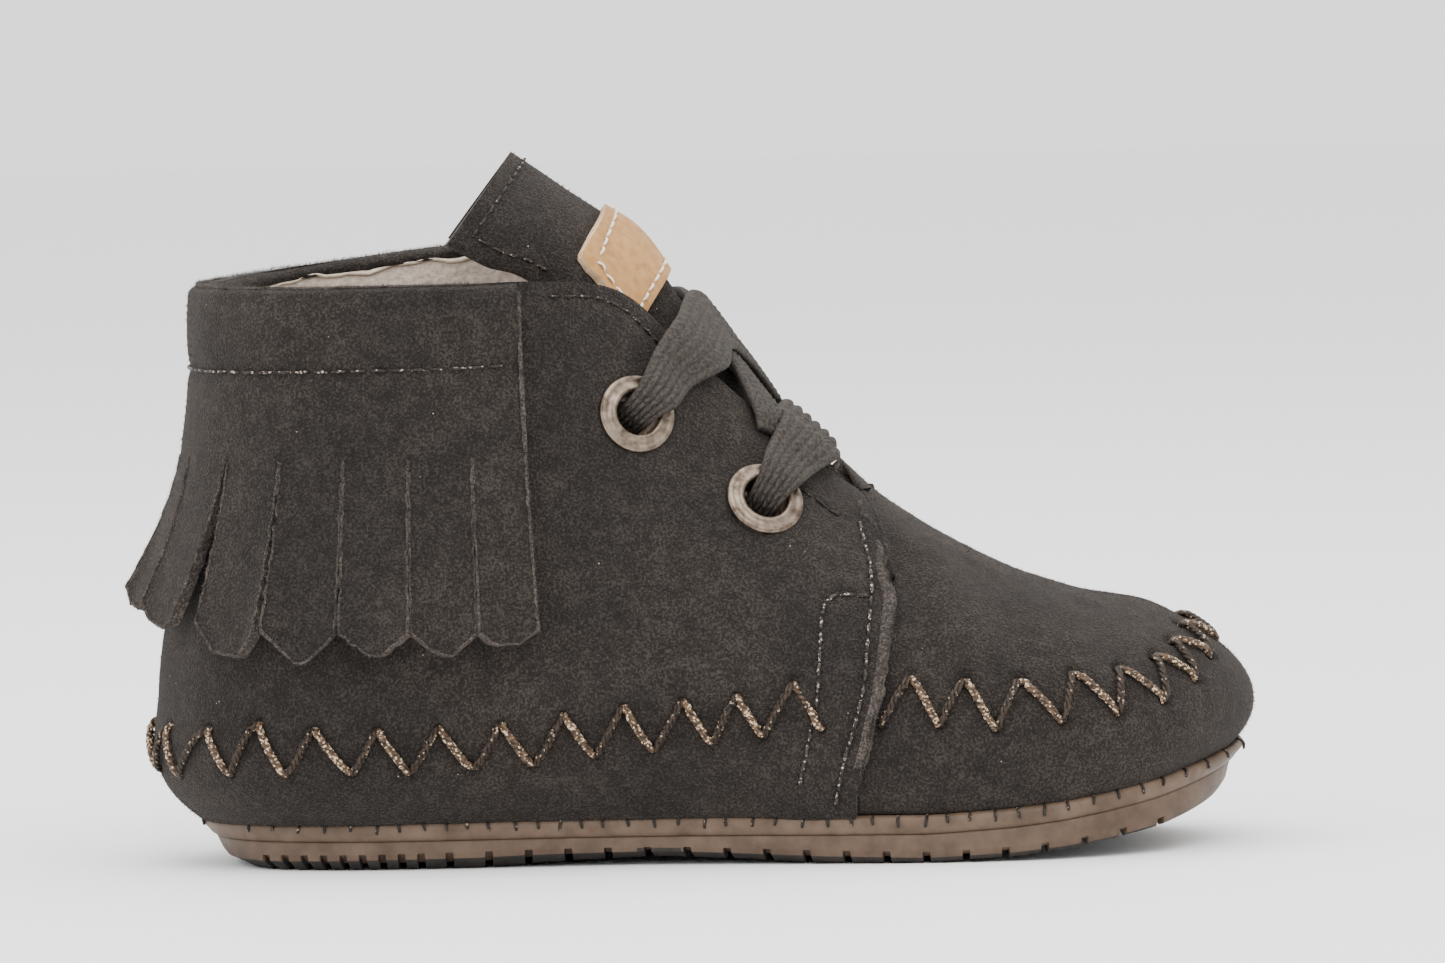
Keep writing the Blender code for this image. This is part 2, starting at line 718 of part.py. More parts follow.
def cuff_place(distance, drop, lift):
    """Point outside the quarters at a distance round the heel's centre, below the rim."""
    side = INNER if distance > 0 else OUTER

    def around(at):
        points = rib(side, QUARTER_RIBS, at)[0]
        return on_rib(points, share_at_height(points, CUFF_MEASURE))

    at = walk(around, 0.0, CUFF_FRONT_RIB, abs(distance))
    points = rib(side, QUARTER_RIBS, at)[0]
    return quarter_point(side, max(at, 0.03), share_at_height(points, points[3].z - drop), lift)


def cuff_reach(side):
    """Length of the cuff from the heel's centre to its front edge."""
    reach = 0.0
    last = None
    count = 200
    for index in range(count + 1):
        points = rib(side, QUARTER_RIBS, CUFF_FRONT_RIB * index / count)[0]
        here = on_rib(points, share_at_height(points, CUFF_MEASURE))
        reach += (here - last).length if last else 0.0
        last = here
    return reach


def build_cuff():
    outer_reach = cuff_reach(OUTER)
    inner_reach = cuff_reach(INNER)
    count = round((outer_reach + inner_reach) / STRIP_PITCH)
    pitch = (outer_reach + inner_reach) / count
    drops = (0.0, CUFF_STITCH_DROP, SLIT_DROP)
    strip_shares = (0.34, 0.68, 1.0)
    sheet = bmesh.new()
    previous = None
    for strip in range(count):
        columns = []
        for share in (0.0, 0.5, 1.0):
            edge = SLIT_WIDTH / 2 * (1 - 2 * share)
            if strip == 0 and share == 0.0 or strip == count - 1 and share == 1.0:
                edge = 0.0
            distance = -outer_reach + (strip + share) * pitch + edge
            flare = FLARE_SIDE + FLARE_HEEL * math.exp(-(distance / FLARE_SPREAD) ** 2)
            column = []
            for drop in drops:
                column.append(sheet.verts.new(cuff_place(distance, drop, GAP)))
            for strip_share in strip_shares:
                drop = SLIT_DROP + (FRINGE_DROP - SLIT_DROP) * strip_share
                drop += STRIP_POINT * strip_share ** 2 if share == 0.5 else 0.0
                lift = GAP + flare * strip_share ** 2
                column.append(sheet.verts.new(cuff_place(distance, drop, lift)))
            columns.append(column)
        for left, right in zip(columns, columns[1:]):
            for level in range(len(left) - 1):
                sheet.faces.new((left[level], right[level], right[level + 1], left[level + 1]))
        if previous:
            for level in range(len(drops) - 1):
                left, right = previous, columns[0]
                sheet.faces.new((left[level], right[level], right[level + 1], left[level + 1]))
        previous = columns[-1]
    return make_shell("fringed_cuff", sheet, CUFF_THICKNESS, 1, SUEDE, 0.95)


def build_label():
    sections = tongue_sections()
    last = len(sections) - 1

    def down_middle(row):
        return tongue_surface(row, 0.5, sections)

    rows = [walk(down_middle, last, 0.0, LABEL_DROP + LABEL_HEIGHT * share) for share in (0, 0.33, 0.67, 1)]
    sheet = bmesh.new()
    grid = []
    for row in rows:
        line = []
        for share in (-1.0, -0.75, -0.5, -0.25, 0.0, 0.25, 0.5, 0.75, 1.0):
            end = 1.0 if share > 0 else 0.0
            across = walk(lambda at: tongue_surface(row, at, sections), 0.5, end, abs(share) * LABEL_WIDTH / 2)
            line.append(sheet.verts.new(tongue_surface(row, across, sections)))
        grid.append(line)
    for high, low in zip(grid, grid[1:]):
        for step in range(len(high) - 1):
            sheet.faces.new((low[step], low[step + 1], high[step + 1], high[step]))
    sheet.normal_update()
    for vertex in sheet.verts:
        vertex.co = vertex.co + vertex.normal * LABEL_CLEARANCE
    return make_shell("tongue_label", sheet, LABEL_THICKNESS, 1, LABEL_LEATHER, 0.5)


def eyelet_seat(side, x_share, z_share):
    """Row, share, place and outward direction of an eyelet on the quarter."""
    low = CUFF_FRONT_RIB - 1.0
    high = len(QUARTER_RIBS) - 1.0
    for _ in range(40):
        at = (low + high) / 2
        points = rib(side, QUARTER_RIBS, at)[0]
        share = share_at_height(points, z_share * COLLAR_HEIGHT)
        if on_rib(points, share).x < x_share * SHOE_LENGTH:
            low = at
        else:
            high = at
    here, outward = outside(side, QUARTER_RIBS, at, share)
    return at, share, here + outward * FLAP_STEP, outward


def turned(name, profile, place, direction, collection):
    """Object of a radius and height profile turned about a direction."""
    mesh = bpy.data.meshes.new(name)
    count = len(profile)
    on_axis = profile[0][0] == 0.0
    edges = [(index, (index + 1) % count) for index in range(count - 1 if on_axis else count)]
    mesh.from_pydata([(radius, 0.0, height) for radius, height in profile], edges, [])
    piece = bpy.data.objects.new(name, mesh)
    collection.objects.link(piece)
    piece.location = place
    piece.rotation_euler = direction.to_track_quat("Z", "Y").to_euler()
    screw = piece.modifiers.new("turn", "SCREW")
    screw.steps = EYELET_STEPS
    screw.render_steps = EYELET_STEPS
    screw.use_merge_vertices = True
    screw.merge_threshold = 0.00001
    screw.use_normal_calculate = True
    screw.use_normal_flip = on_axis
    return piece


def eyelet_profile():
    tube = EYELET_HOLE_RADIUS + EYELET_WALL
    tail = -(WALL + FLAP_STEP + 2 * GAP)
    seat = GAP - FLANGE_SINK
    top = seat + FLANGE_THICKNESS
    return (
        (EYELET_HOLE_RADIUS, tail),
        (EYELET_HOLE_RADIUS, top * 0.5),
        (EYELET_HOLE_RADIUS + EYELET_WALL * 1.4, top),
        (EYELET_RADIUS - EYELET_WALL * 1.4, top),
        (EYELET_RADIUS, seat + FLANGE_THICKNESS * 0.35),
        (EYELET_RADIUS, seat),
        (tube, seat),
        (tube, tail),
    )


def cutter_profile():
    hole = EYELET_HOLE_RADIUS + EYELET_WALL + GAP
    spot = EYELET_RADIUS + GAP
    through = WALL + FLAP_STEP + CUTTER_REACH
    return (
        (0.0, -through),
        (hole, -through),
        (hole, -FLANGE_SINK),
        (spot, -FLANGE_SINK),
        (spot, CUTTER_REACH),
        (0.0, CUTTER_REACH),
    )


def build_eyelets(upper, cutters):
    shown = bpy.data.collections[COLLECTION_NAME]
    pieces = []
    for side, side_name in ((OUTER, "outer"), (INNER, "inner")):
        for name, x_share, z_share in EYELETS:
            place, direction = eyelet_seat(side, x_share, z_share)[2:]
            node = "eyelet_" + side_name + "_" + name
            eyelet = turned(node, eyelet_profile(), place, direction, shown)
            eyelet.data.materials.append(make_material(node, EYELET_METAL, 0.35, 1.0))
            pieces.append(eyelet)
            cutter = turned(node + "_hole", cutter_profile(), place, direction, cutters)
            cutter.hide_render = True
            cutter.display_type = "WIRE"
            cut = upper.modifiers.new(node + "_hole", "BOOLEAN")
            cut.operation = "DIFFERENCE"
            cut.object = cutter
            pieces.append(cutter)
    return pieces


def strap(path):
    """Closed flat lace; each path row holds a place, its outward direction and the width."""
    solid = bmesh.new()
    half = LACE_THICKNESS / 2
    rings = []
    for index, (place, outward, wide) in enumerate(path):
        ahead = path[min(index + 1, len(path) - 1)][0] - path[max(index - 1, 0)][0]
        across = ahead.cross(outward).normalized()
        up = across.cross(ahead).normalized()
        flat = wide / 2 - half
        ring = [
            place + across * wide / 2,
            place + across * flat + up * half,
            place - across * flat + up * half,
            place - across * wide / 2,
            place - across * flat - up * half,
            place + across * flat - up * half,
        ]
        rings.append([solid.verts.new(point) for point in ring])
    for here, there in zip(rings, rings[1:]):
        for corner in range(6):
            after = (corner + 1) % 6
            solid.faces.new((here[corner], here[after], there[after], there[corner]))
    solid.faces.new(rings[0][::-1])
    solid.faces.new(rings[-1])
    bmesh.ops.recalc_face_normals(solid, faces=solid.faces)
    return solid


def lace_path(stops):
    """Smooth path through stops, each a place, an outward direction and a width."""
    rows = [(*place, *outward, wide) for place, outward, wide in stops]
    path = []
    count = (len(rows) - 1) * LACE_STEPS
    for index in range(count + 1):
        values = blend_rows(rows, index / LACE_STEPS)
        path.append((Vector(values[:3]), Vector(values[3:6]).normalized(), values[6]))
    return path


def eyelet_stops(side, name, edge_row):
    """Lace stops from over an eyelet to the throat's edge."""
    x_share, z_share = {row[0]: row[1:] for row in EYELETS}[name]
    at, share, seat, outward = eyelet_seat(side, x_share, z_share)
    lift = FLANGE_THICKNESS + LACE_CLEARANCE + LACE_THICKNESS / 2
    stops = [(seat + outward * lift, outward, EYELET_LACE_WIDTH)]
    for way, raised, widening in EDGE_STOPS:
        row = at + (edge_row - at) * way
        along = share + (1 - share) * way
        place, outward = outside(side, QUARTER_RIBS, row, along)
        height = FLAP_STEP + lift + raised * LACE_THICKNESS
        stops.append((place + outward * height, outward, LACE_WIDTH * widening))
    return stops


def tongue_stop(row, across, lift, sections):
    """Lace stop over the tongue."""
    here = tongue_surface(row, across, sections)
    ahead = tongue_surface(row + 0.1, across, sections) - here
    aside = tongue_surface(row, across + 0.05, sections) - tongue_surface(row, across - 0.05, sections)
    outward = aside.cross(ahead).normalized()
    return (here + outward * lift, outward, LACE_WIDTH)


def build_laces():
    sections = tongue_sections()
    lift = LACE_CLEARANCE + LACE_THICKNESS / 2
    outer = eyelet_stops(OUTER, "low", BAR_EDGE_RIB)
    inner = eyelet_stops(INNER, "low", BAR_EDGE_RIB)
    middle = [tongue_stop(BAR_TONGUE_ROW, 0.5, lift, sections)]
    bar = make_object("lace_bar", strap(lace_path(outer + middle + inner[::-1])), LACE_BRAID, 0.8)

    strands = []
    for side, extra in ((OUTER, LACE_THICKNESS - LACE_OVERLAP), (INNER, 0.0)):
        near = eyelet_stops(side, "high", CROSS_HIGH_RIB)
        middle = [tongue_stop(CROSS_TONGUE_ROW, 0.5, lift + extra, sections)]
        far_place, far_outward = outside(-side, QUARTER_RIBS, CROSS_LOW_RIB, 1.0)
        far = [(far_place + far_outward * (FLAP_STEP + lift), far_outward, CROSS_END_WIDTH)]
        strands.append(strap(lace_path(near + middle + far)))
    upper_strand = make_object("lace_crossing", strands[0], LACE_BRAID, 0.8)
    lower_strand = make_object("lace_crossing_under", strands[1], LACE_BRAID, 0.8)
    return bar, upper_strand, lower_strand


def centre_on_origin(pieces):
    """Moves all pieces so that the box around them stands centred on the origin."""
    bpy.context.view_layer.update()
    depsgraph = bpy.context.evaluated_depsgraph_get()
    corners = []
    for piece in pieces:
        box = piece.evaluated_get(depsgraph).bound_box
        corners += [piece.matrix_world @ Vector(corner) for corner in box]
    middle_x = (min(c.x for c in corners) + max(c.x for c in corners)) / 2
    middle_y = (min(c.y for c in corners) + max(c.y for c in corners)) / 2
    lowest = min(c.z for c in corners)
    for piece in pieces:
        piece.location -= Vector((middle_x, middle_y, lowest))


def join_with(piece, other):
    """Fuses another solid into a piece for good."""
    fuse = piece.modifiers.new("fuse", "BOOLEAN")
    fuse.operation = "UNION"
    fuse.object = other
    bpy.context.view_layer.update()
    depsgraph = bpy.context.evaluated_depsgraph_get()
    fused = bpy.data.meshes.new_from_object(piece.evaluated_get(depsgraph))
    piece.modifiers.clear()
    piece.data = fused
    bpy.data.objects.remove(other, do_unlink=True)


def main():
    for existing in list(bpy.data.objects):
        bpy.data.objects.remove(existing, do_unlink=True)
    collection = bpy.data.collections.new(COLLECTION_NAME)
    cutters = bpy.data.collections.new("cutters")
    bpy.context.scene.collection.children.link(collection)
    bpy.context.scene.collection.children.link(cutters)
    upper = build_upper()
    bar, crossing, under = build_laces()
    join_with(crossing, under)
    pieces = [
        build_outsole(),
        build_rand(),
        build_insole(),
        upper,
        build_tongue(),
        build_cuff(),
        build_label(),
        bar,
        crossing,
    ]
    pieces += build_eyelets(upper, cutters)
    centre_on_origin(pieces)


main()
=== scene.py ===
import math
import random

import bmesh
import bpy
import numpy
from mathutils import Matrix, Vector, noise
from mathutils.bvhtree import BVHTree


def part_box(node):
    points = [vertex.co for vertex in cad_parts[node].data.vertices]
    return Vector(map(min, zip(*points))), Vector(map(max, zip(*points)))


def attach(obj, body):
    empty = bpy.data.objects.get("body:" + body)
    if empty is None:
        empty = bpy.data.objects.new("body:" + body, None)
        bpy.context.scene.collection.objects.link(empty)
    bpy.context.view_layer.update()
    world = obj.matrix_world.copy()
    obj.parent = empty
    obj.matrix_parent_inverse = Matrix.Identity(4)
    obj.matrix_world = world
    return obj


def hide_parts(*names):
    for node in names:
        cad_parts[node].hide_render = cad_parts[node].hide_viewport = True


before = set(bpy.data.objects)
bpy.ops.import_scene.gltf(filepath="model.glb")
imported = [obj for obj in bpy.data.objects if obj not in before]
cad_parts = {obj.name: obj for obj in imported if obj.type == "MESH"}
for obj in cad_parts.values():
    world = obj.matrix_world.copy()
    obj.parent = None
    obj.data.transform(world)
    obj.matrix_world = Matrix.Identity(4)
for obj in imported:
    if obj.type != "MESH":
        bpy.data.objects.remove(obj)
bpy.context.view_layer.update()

random.seed(7)
scene = bpy.context.scene

# Camera: where the photograph's stood
shot = {
    "azimuth": -0.83,  # degrees towards the heel
    "elevation": 3.0,
    "roll": 1.34,
    "distance": 1.3,
    "frameWidth": 0.1796,  # metres across the frame at the shoe
    "aim": (0.0045, 0.0, 0.0458),
    "size": (1445, 963),
}


def addCamera():
    azimuth = math.radians(shot["azimuth"])
    elevation = math.radians(shot["elevation"])
    away = Vector((
        math.sin(azimuth) * math.cos(elevation),
        -math.cos(azimuth) * math.cos(elevation),
        math.sin(elevation),
    ))
    camera = bpy.data.objects.new("camera", bpy.data.cameras.new("camera"))
    scene.collection.objects.link(camera)
    camera.data.sensor_width = 36.0
    camera.data.lens = 36.0 * shot["distance"] / shot["frameWidth"]
    camera.data.clip_start = 0.01
    camera.location = Vector(shot["aim"]) + away * shot["distance"]
    camera.rotation_euler = (-away).to_track_quat("-Z", "Y").to_euler()
    camera.rotation_euler.rotate_axis("Z", math.radians(-shot["roll"]))
    scene.camera = camera
    bpy.context.view_layer.update()
    return camera


camera = addCamera()
print("camera placed")

# Sizes of the last and sole
last = {
    "length": 0.1372,
    "ball": 0.0565,
    "collar": 0.0718,
    "innerRise": 0.0046,  # the collar stands higher on the inner side
    "instep": 0.0487,
    "toe": 0.0303,
    "inset": 0.0012,  # upper in from the sole's edge
    "soleLength": 0.130,
    "overhang": 0.005,  # the heel stands out past the sole
    "spring": 0.0066,
    "arch": 0.0010,
    "tread": 0.0014,
    "band": 0.0020,
    "rand": 0.0022,
    "gap": 0.0003,
    "wall": 0.0018,
    "flap": 0.0011,  # the quarters over the vamp
}
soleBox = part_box("outsole")
heelX = soleBox[0][0] - last["overhang"]
middleY = soleBox[0][1] + 0.508 * last["ball"]
origin = Vector((heelX, middleY, 0.0))

# Outline of the sole, heel to toe: station, outer and inner half width
outlineRows = (
    (0.000, 0.000, 0.000), (0.010, 0.115, 0.115), (0.035, 0.216, 0.212),
    (0.078, 0.297, 0.288), (0.147, 0.354, 0.340), (0.233, 0.372, 0.347),
    (0.333, 0.372, 0.333), (0.426, 0.386, 0.329), (0.504, 0.418, 0.361),
    (0.581, 0.458, 0.418), (0.659, 0.494, 0.471), (0.736, 0.508, 0.492),
    (0.806, 0.492, 0.474), (0.868, 0.442, 0.428), (0.919, 0.370, 0.358),
    (0.959, 0.274, 0.269), (0.988, 0.156, 0.156), (1.000, 0.000, 0.000),
)
# Underside: station, share of the arch, share of the toe spring
undersideRows = (
    (0.00, 0.00, 0.00), (0.27, 0.00, 0.00), (0.35, 0.60, 0.00), (0.43, 1.00, 0.00),
    (0.51, 0.60, 0.00), (0.59, 0.00, 0.00), (0.69, 0.00, 0.00), (0.77, 0.00, 0.09),
    (0.815, 0.00, 0.18), (0.86, 0.00, 0.31), (0.91, 0.00, 0.50), (0.955, 0.00, 0.74),
    (1.00, 0.00, 1.00),
)
# Ribs of the upper, heel to toe
ribNames = (
    "foot", "topX", "topY", "collar", "instep", "toe", "lean",
    "bulge", "rise", "fore", "out", "drop", "seam",
)
quarterRibs = (
    (0.000, 0.054, 0.000, 1.00, 0.00, 0.00, -0.090, 0.000, 0.150, 0.004, 0.000, 0.480, 0.45),
    (0.010, 0.060, 0.142, 1.00, 0.00, 0.00, -0.080, 0.097, 0.150, 0.004, -0.018, 0.480, 0.46),
    (0.035, 0.079, 0.258, 1.00, 0.00, 0.00, -0.058, 0.168, 0.150, 0.002, -0.027, 0.465, 0.47),
    (0.100, 0.125, 0.354, 1.00, 0.00, 0.00, -0.026, 0.212, 0.150, 0.000, -0.035, 0.437, 0.49),
    (0.190, 0.199, 0.393, 1.00, 0.00, 0.00, -0.007, 0.221, 0.157, 0.000, -0.035, 0.423, 0.49),
    (0.280, 0.279, 0.389, 1.00, 0.00, 0.00, 0.000, 0.221, 0.164, 0.000, -0.018, 0.409, 0.50),
    (0.360, 0.353, 0.350, 1.00, 0.00, 0.00, 0.000, 0.221, 0.177, 0.007, 0.018, 0.382, 0.54),
    (0.430, 0.419, 0.274, 0.93, 0.07, 0.00, 0.000, 0.212, 0.191, 0.022, 0.088, 0.327, 0.57),
    (0.490, 0.468, 0.195, 0.66, 0.34, 0.00, 0.000, 0.204, 0.205, 0.029, 0.142, 0.246, 0.61),
    (0.540, 0.524, 0.165, 0.34, 0.66, 0.00, 0.007, 0.195, 0.211, 0.037, 0.177, 0.177, 0.64),
    (0.585, 0.581, 0.154, 0.03, 0.97, 0.00, 0.015, 0.177, 0.218, 0.037, 0.195, 0.136, 0.66),
    (0.622, 0.635, 0.145, 0.00, 0.73, 0.27, 0.022, 0.159, 0.232, 0.040, 0.195, 0.090, 0.69),
)
tabRibs = (
    (0.626, 0.638, 0.142, 0.00, 0.725, 0.275, 0.022, 0.159, 0.232, 0.040, 0.195, 0.090, 0.69),
    (0.667, 0.631, 0.076, 0.00, 0.870, 0.130, 0.015, 0.159, 0.232, 0.040, 0.205, 0.080, 0.69),
    (0.710, 0.620, 0.000, 0.00, 1.000, 0.000, 0.011, 0.150, 0.225, 0.037, 0.230, 0.075, 0.69),
)
vampRibs = (
    (0.710, 0.620, 0.000, 0.00, 1.000, 0.000, 0.011, 0.150, 0.225, 0.037, 0.230, 0.075, 0.69),
    (0.755, 0.665, 0.000, 0.00, 0.678, 0.322, 0.015, 0.150, 0.218, 0.030, 0.283, 0.042, 0.69),
    (0.800, 0.717, 0.000, 0.00, 0.414, 0.586, 0.018, 0.142, 0.205, 0.040, 0.318, 0.045, 0.70),
    (0.845, 0.761, 0.000, 0.00, 0.224, 0.776, 0.026, 0.133, 0.177, 0.066, 0.318, 0.050, 0.71),
    (0.890, 0.794, 0.000, 0.00, 0.115, 0.885, 0.037, 0.115, 0.150, 0.096, 0.283, 0.050, 0.74),
    (0.930, 0.816, 0.000, 0.00, 0.052, 0.948, 0.044, 0.088, 0.123, 0.125, 0.221, 0.040, 0.78),
    (0.965, 0.831, 0.000, 0.00, 0.023, 0.977, 0.044, 0.062, 0.102, 0.147, 0.150, 0.025, 0.84),
    (0.988, 0.838, 0.000, 0.00, 0.006, 0.994, 0.042, 0.035, 0.080, 0.155, 0.080, 0.012, 0.89),
    (1.000, 0.841, 0.000, 0.00, 0.000, 1.000, 0.040, 0.000, 0.068, 0.159, 0.000, 0.000, 0.92),
)
mirroredColumns = {2, 7, 10}  # sideways values, which change sign past the heel and the toe
outer, inner = -1, 1


def halve(low, high, turns, isBelow):
    # closes in on the place where isBelow stops holding
    for _ in range(turns):
        middle = (low + high) / 2
        if isBelow(middle):
            low = middle
        else:
            high = middle
    return (low + high) / 2


def blendRows(rows, at, odd=(), mirrorStart=False, mirrorEnd=False):
    # smooth values between table rows; past a mirrored end the sideways columns change sign
    end = len(rows) - 1
    first = min(int(math.floor(at)), end - 1)
    share = at - first

    def beyond(here, there, mirrored):
        if mirrored:
            return [-v if i in odd else v for i, v in enumerate(there)]
        return [2 * a - b for a, b in zip(here, there)]

    rowBefore = rows[first - 1] if first > 0 else beyond(rows[0], rows[1], mirrorStart)
    rowAfter = rows[first + 2] if first + 2 <= end else beyond(rows[end], rows[end - 1], mirrorEnd)
    values = []
    for before, low, high, after in zip(rowBefore, rows[first], rows[first + 1], rowAfter):
        leaving = (high - before) / 2
        reaching = (after - low) / 2
        cube = 2 * low - 2 * high + leaving + reaching
        square = 3 * high - 3 * low - 2 * leaving - reaching
        values.append(((cube * share + square) * share + leaving) * share + low)
    return values


def outlineAt(row):
    return blendRows(outlineRows, row, (1, 2), True, True)


def rowOfStation(station):
    return halve(0.0, len(outlineRows) - 1.0, 36, lambda row: outlineAt(row)[0] < station)


def underside(station, archShare=0.0):
    for low, high in zip(undersideRows, undersideRows[1:]):
        if low[0] <= station <= high[0]:
            share = (station - low[0]) / (high[0] - low[0])
            arch = low[1] + (high[1] - low[1]) * share
            spring = low[2] + (high[2] - low[2]) * share
            return arch * archShare * last["arch"] + spring * last["spring"]
    return 0.0


def edgePoint(side, row, inset):
    # point of the sole's edge in plan, moved in from the edge
    def raw(at):
        station, outWidth, inWidth = outlineAt(at)
        width = outWidth if side == outer else inWidth
        return Vector((last["overhang"] + station * last["soleLength"], side * width * last["ball"]))

    step = 0.05
    end = len(outlineRows) - 1
    if row < step or row > end - step:
        inward = Vector((1.0 if row < step else -1.0, 0.0))
    else:
        along = (raw(row + step) - raw(row - step)).normalized()
        inward = Vector((-along.y, along.x)) * -side
    return raw(row) + inward * inset


def randTop(station):
    return underside(station) + last["tread"] + last["band"] + last["gap"] + last["rand"]


knownRibs = {}
ribsPerRow = 40


def rib(side, rows, at):
    # four control points of one rib of the upper, and its seam height
    low = math.floor(at * ribsPerRow)
    share = at * ribsPerRow - low
    points, seam = keptRib(side, rows, low)
    if share < 0.001:
        return points, seam
    after, seamAfter = keptRib(side, rows, low + 1)
    return [a.lerp(b, share) for a, b in zip(points, after)], seam + (seamAfter - seam) * share


def keptRib(side, rows, index):
    key = (side, id(rows), index)
    if key in knownRibs:
        return knownRibs[key]
    at = index / ribsPerRow
    mirrorStart, mirrorEnd = rows is quarterRibs, rows is vampRibs
    value = dict(zip(ribNames, blendRows(rows, at, mirroredColumns, mirrorStart, mirrorEnd)))
    station = min(max(value["foot"], 0.0), 1.0)
    plan = edgePoint(side, rowOfStation(station), last["inset"])
    foot = Vector((plan.x, plan.y, randTop(station) + last["gap"]))
    topZ = value["collar"] * last["collar"] + value["instep"] * last["instep"] + value["toe"] * last["toe"]
    if side == inner and rows is quarterRibs:
        topZ += last["innerRise"] * math.sin(math.pi * max(0.0, at / (len(rows) - 1)) ** 1.35) ** 2
    top = Vector((value["topX"] * last["length"], side * value["topY"] * last["ball"], topZ))
    scale = Vector((last["length"], side * last["ball"], last["collar"]))
    low = foot + Vector((value["lean"], value["bulge"], value["rise"])) * scale
    high = top + Vector((value["fore"], value["out"], -value["drop"])) * scale
    points = [point + origin for point in (foot, low, high, top)]
    knownRibs[key] = (points, value["seam"] * last["toe"])
    return knownRibs[key]


def onRib(points, share):
    rest = 1 - share
    return (points[0] * rest ** 3 + points[1] * (3 * rest ** 2 * share)
            + points[2] * (3 * rest * share ** 2) + points[3] * share ** 3)


def shareAtHeight(points, height):
    z0, z1, z2, z3 = (point.z for point in points)

    def isBelow(share):
        rest = 1 - share
        return z0 * rest ** 3 + 3 * rest * share * (z1 * rest + z2 * share) + z3 * share ** 3 < height

    return halve(0.0, 1.0, 18, isBelow)


def outside(side, rows, at, share):
    # point of the upper's base surface and its outward direction
    step = 0.02
    points = rib(side, rows, at)[0]
    here = onRib(points, share)
    along = here - onRib(points, share - step) if share > step else onRib(points, share + step) - here
    across = onRib(rib(side, rows, at + step)[0], share) - onRib(rib(side, rows, at - step)[0], share)
    return here, across.cross(along).normalized() * -side


# Meshes from grids of points

def gridMesh(name, grid, closed=False):
    # mesh of a grid of points, whose columns run along and rows up; doubles are merged
    maker = bmesh.new()
    rows = [[maker.verts.new(point) for point in line] for line in grid]
    layer = maker.loops.layers.uv.new("UVMap")
    count = len(rows)
    for index in range(count if closed else count - 1):
        left, right = rows[index], rows[(index + 1) % count]
        for level in range(len(left) - 1):
            face = maker.faces.new((left[level], right[level], right[level + 1], left[level + 1]))
            face.smooth = True
            ends = ((index, level), (index + 1, level), (index + 1, level + 1), (index, level + 1))
            for loop, (u, v) in zip(face.loops, ends):
                loop[layer].uv = (u / count, v / (len(left) - 1))
    bmesh.ops.remove_doubles(maker, verts=maker.verts, dist=0.00001)
    mesh = bpy.data.meshes.new(name)
    maker.to_mesh(mesh)
    maker.free()
    return mesh


def addPiece(name, mesh, material, slotName, *nodes):
    piece = bpy.data.objects.new(name, mesh)
    scene.collection.objects.link(piece)
    mesh.materials.append(material)
    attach(piece, "root")
    if nodes:
        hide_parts(*nodes)
    return piece


def applyModifiers(piece):
    bpy.context.view_layer.update()
    result = bpy.data.meshes.new_from_object(piece.evaluated_get(bpy.context.evaluated_depsgraph_get()))
    piece.modifiers.clear()
    piece.data = result


def thicken(piece, thickness, rounding, cutEdge=None, segments=2):
    # wall behind a sheet, with rounded cut edges of their own material
    wall = piece.modifiers.new("wall", "SOLIDIFY")
    wall.thickness = thickness
    wall.offset = -1
    if cutEdge:
        piece.data.materials.append(cutEdge)
        wall.material_offset_rim = 1
    if rounding:
        bevel = piece.modifiers.new("rounding", "BEVEL")
        bevel.width = rounding
        bevel.segments = segments
        bevel.limit_method = "ANGLE"
        bevel.angle_limit = math.radians(60)
    applyModifiers(piece)
    piece.data.shade_smooth()


def gridNormals(grid, flip):
    # outward direction at each point of a grid
    count, levels = len(grid), len(grid[0])
    normals = []
    for i in range(count):
        line = []
        for j in range(levels):
            along = grid[min(i + 1, count - 1)][j] - grid[max(i - 1, 0)][j]
            up = grid[i][min(j + 1, levels - 1)] - grid[i][max(j - 1, 0)]
            line.append(along.cross(up).normalized() * flip)
        normals.append(line)
    return normals


def offsetGrid(grid, normals, amount):
    # grid moved along its normals by amount(column, level, point)
    return [
        [point + normal * amount(i, j, point) for j, (point, normal) in enumerate(zip(line, directions))]
        for i, (line, directions) in enumerate(zip(grid, normals))
    ]


def treeOf(mesh):
    corners = [vertex.co for vertex in mesh.vertices]
    return BVHTree.FromPolygons(corners, [tuple(face.vertices) for face in mesh.polygons])


def closeMesh(mesh, fillEnds=False):
    # normals of a closed mesh face out
    maker = bmesh.new()
    maker.from_mesh(mesh)
    if fillEnds:
        bmesh.ops.holes_fill(maker, edges=[edge for edge in maker.edges if edge.is_boundary], sides=0)
    bmesh.ops.recalc_face_normals(maker, faces=maker.faces)
    maker.to_mesh(mesh)
    maker.free()


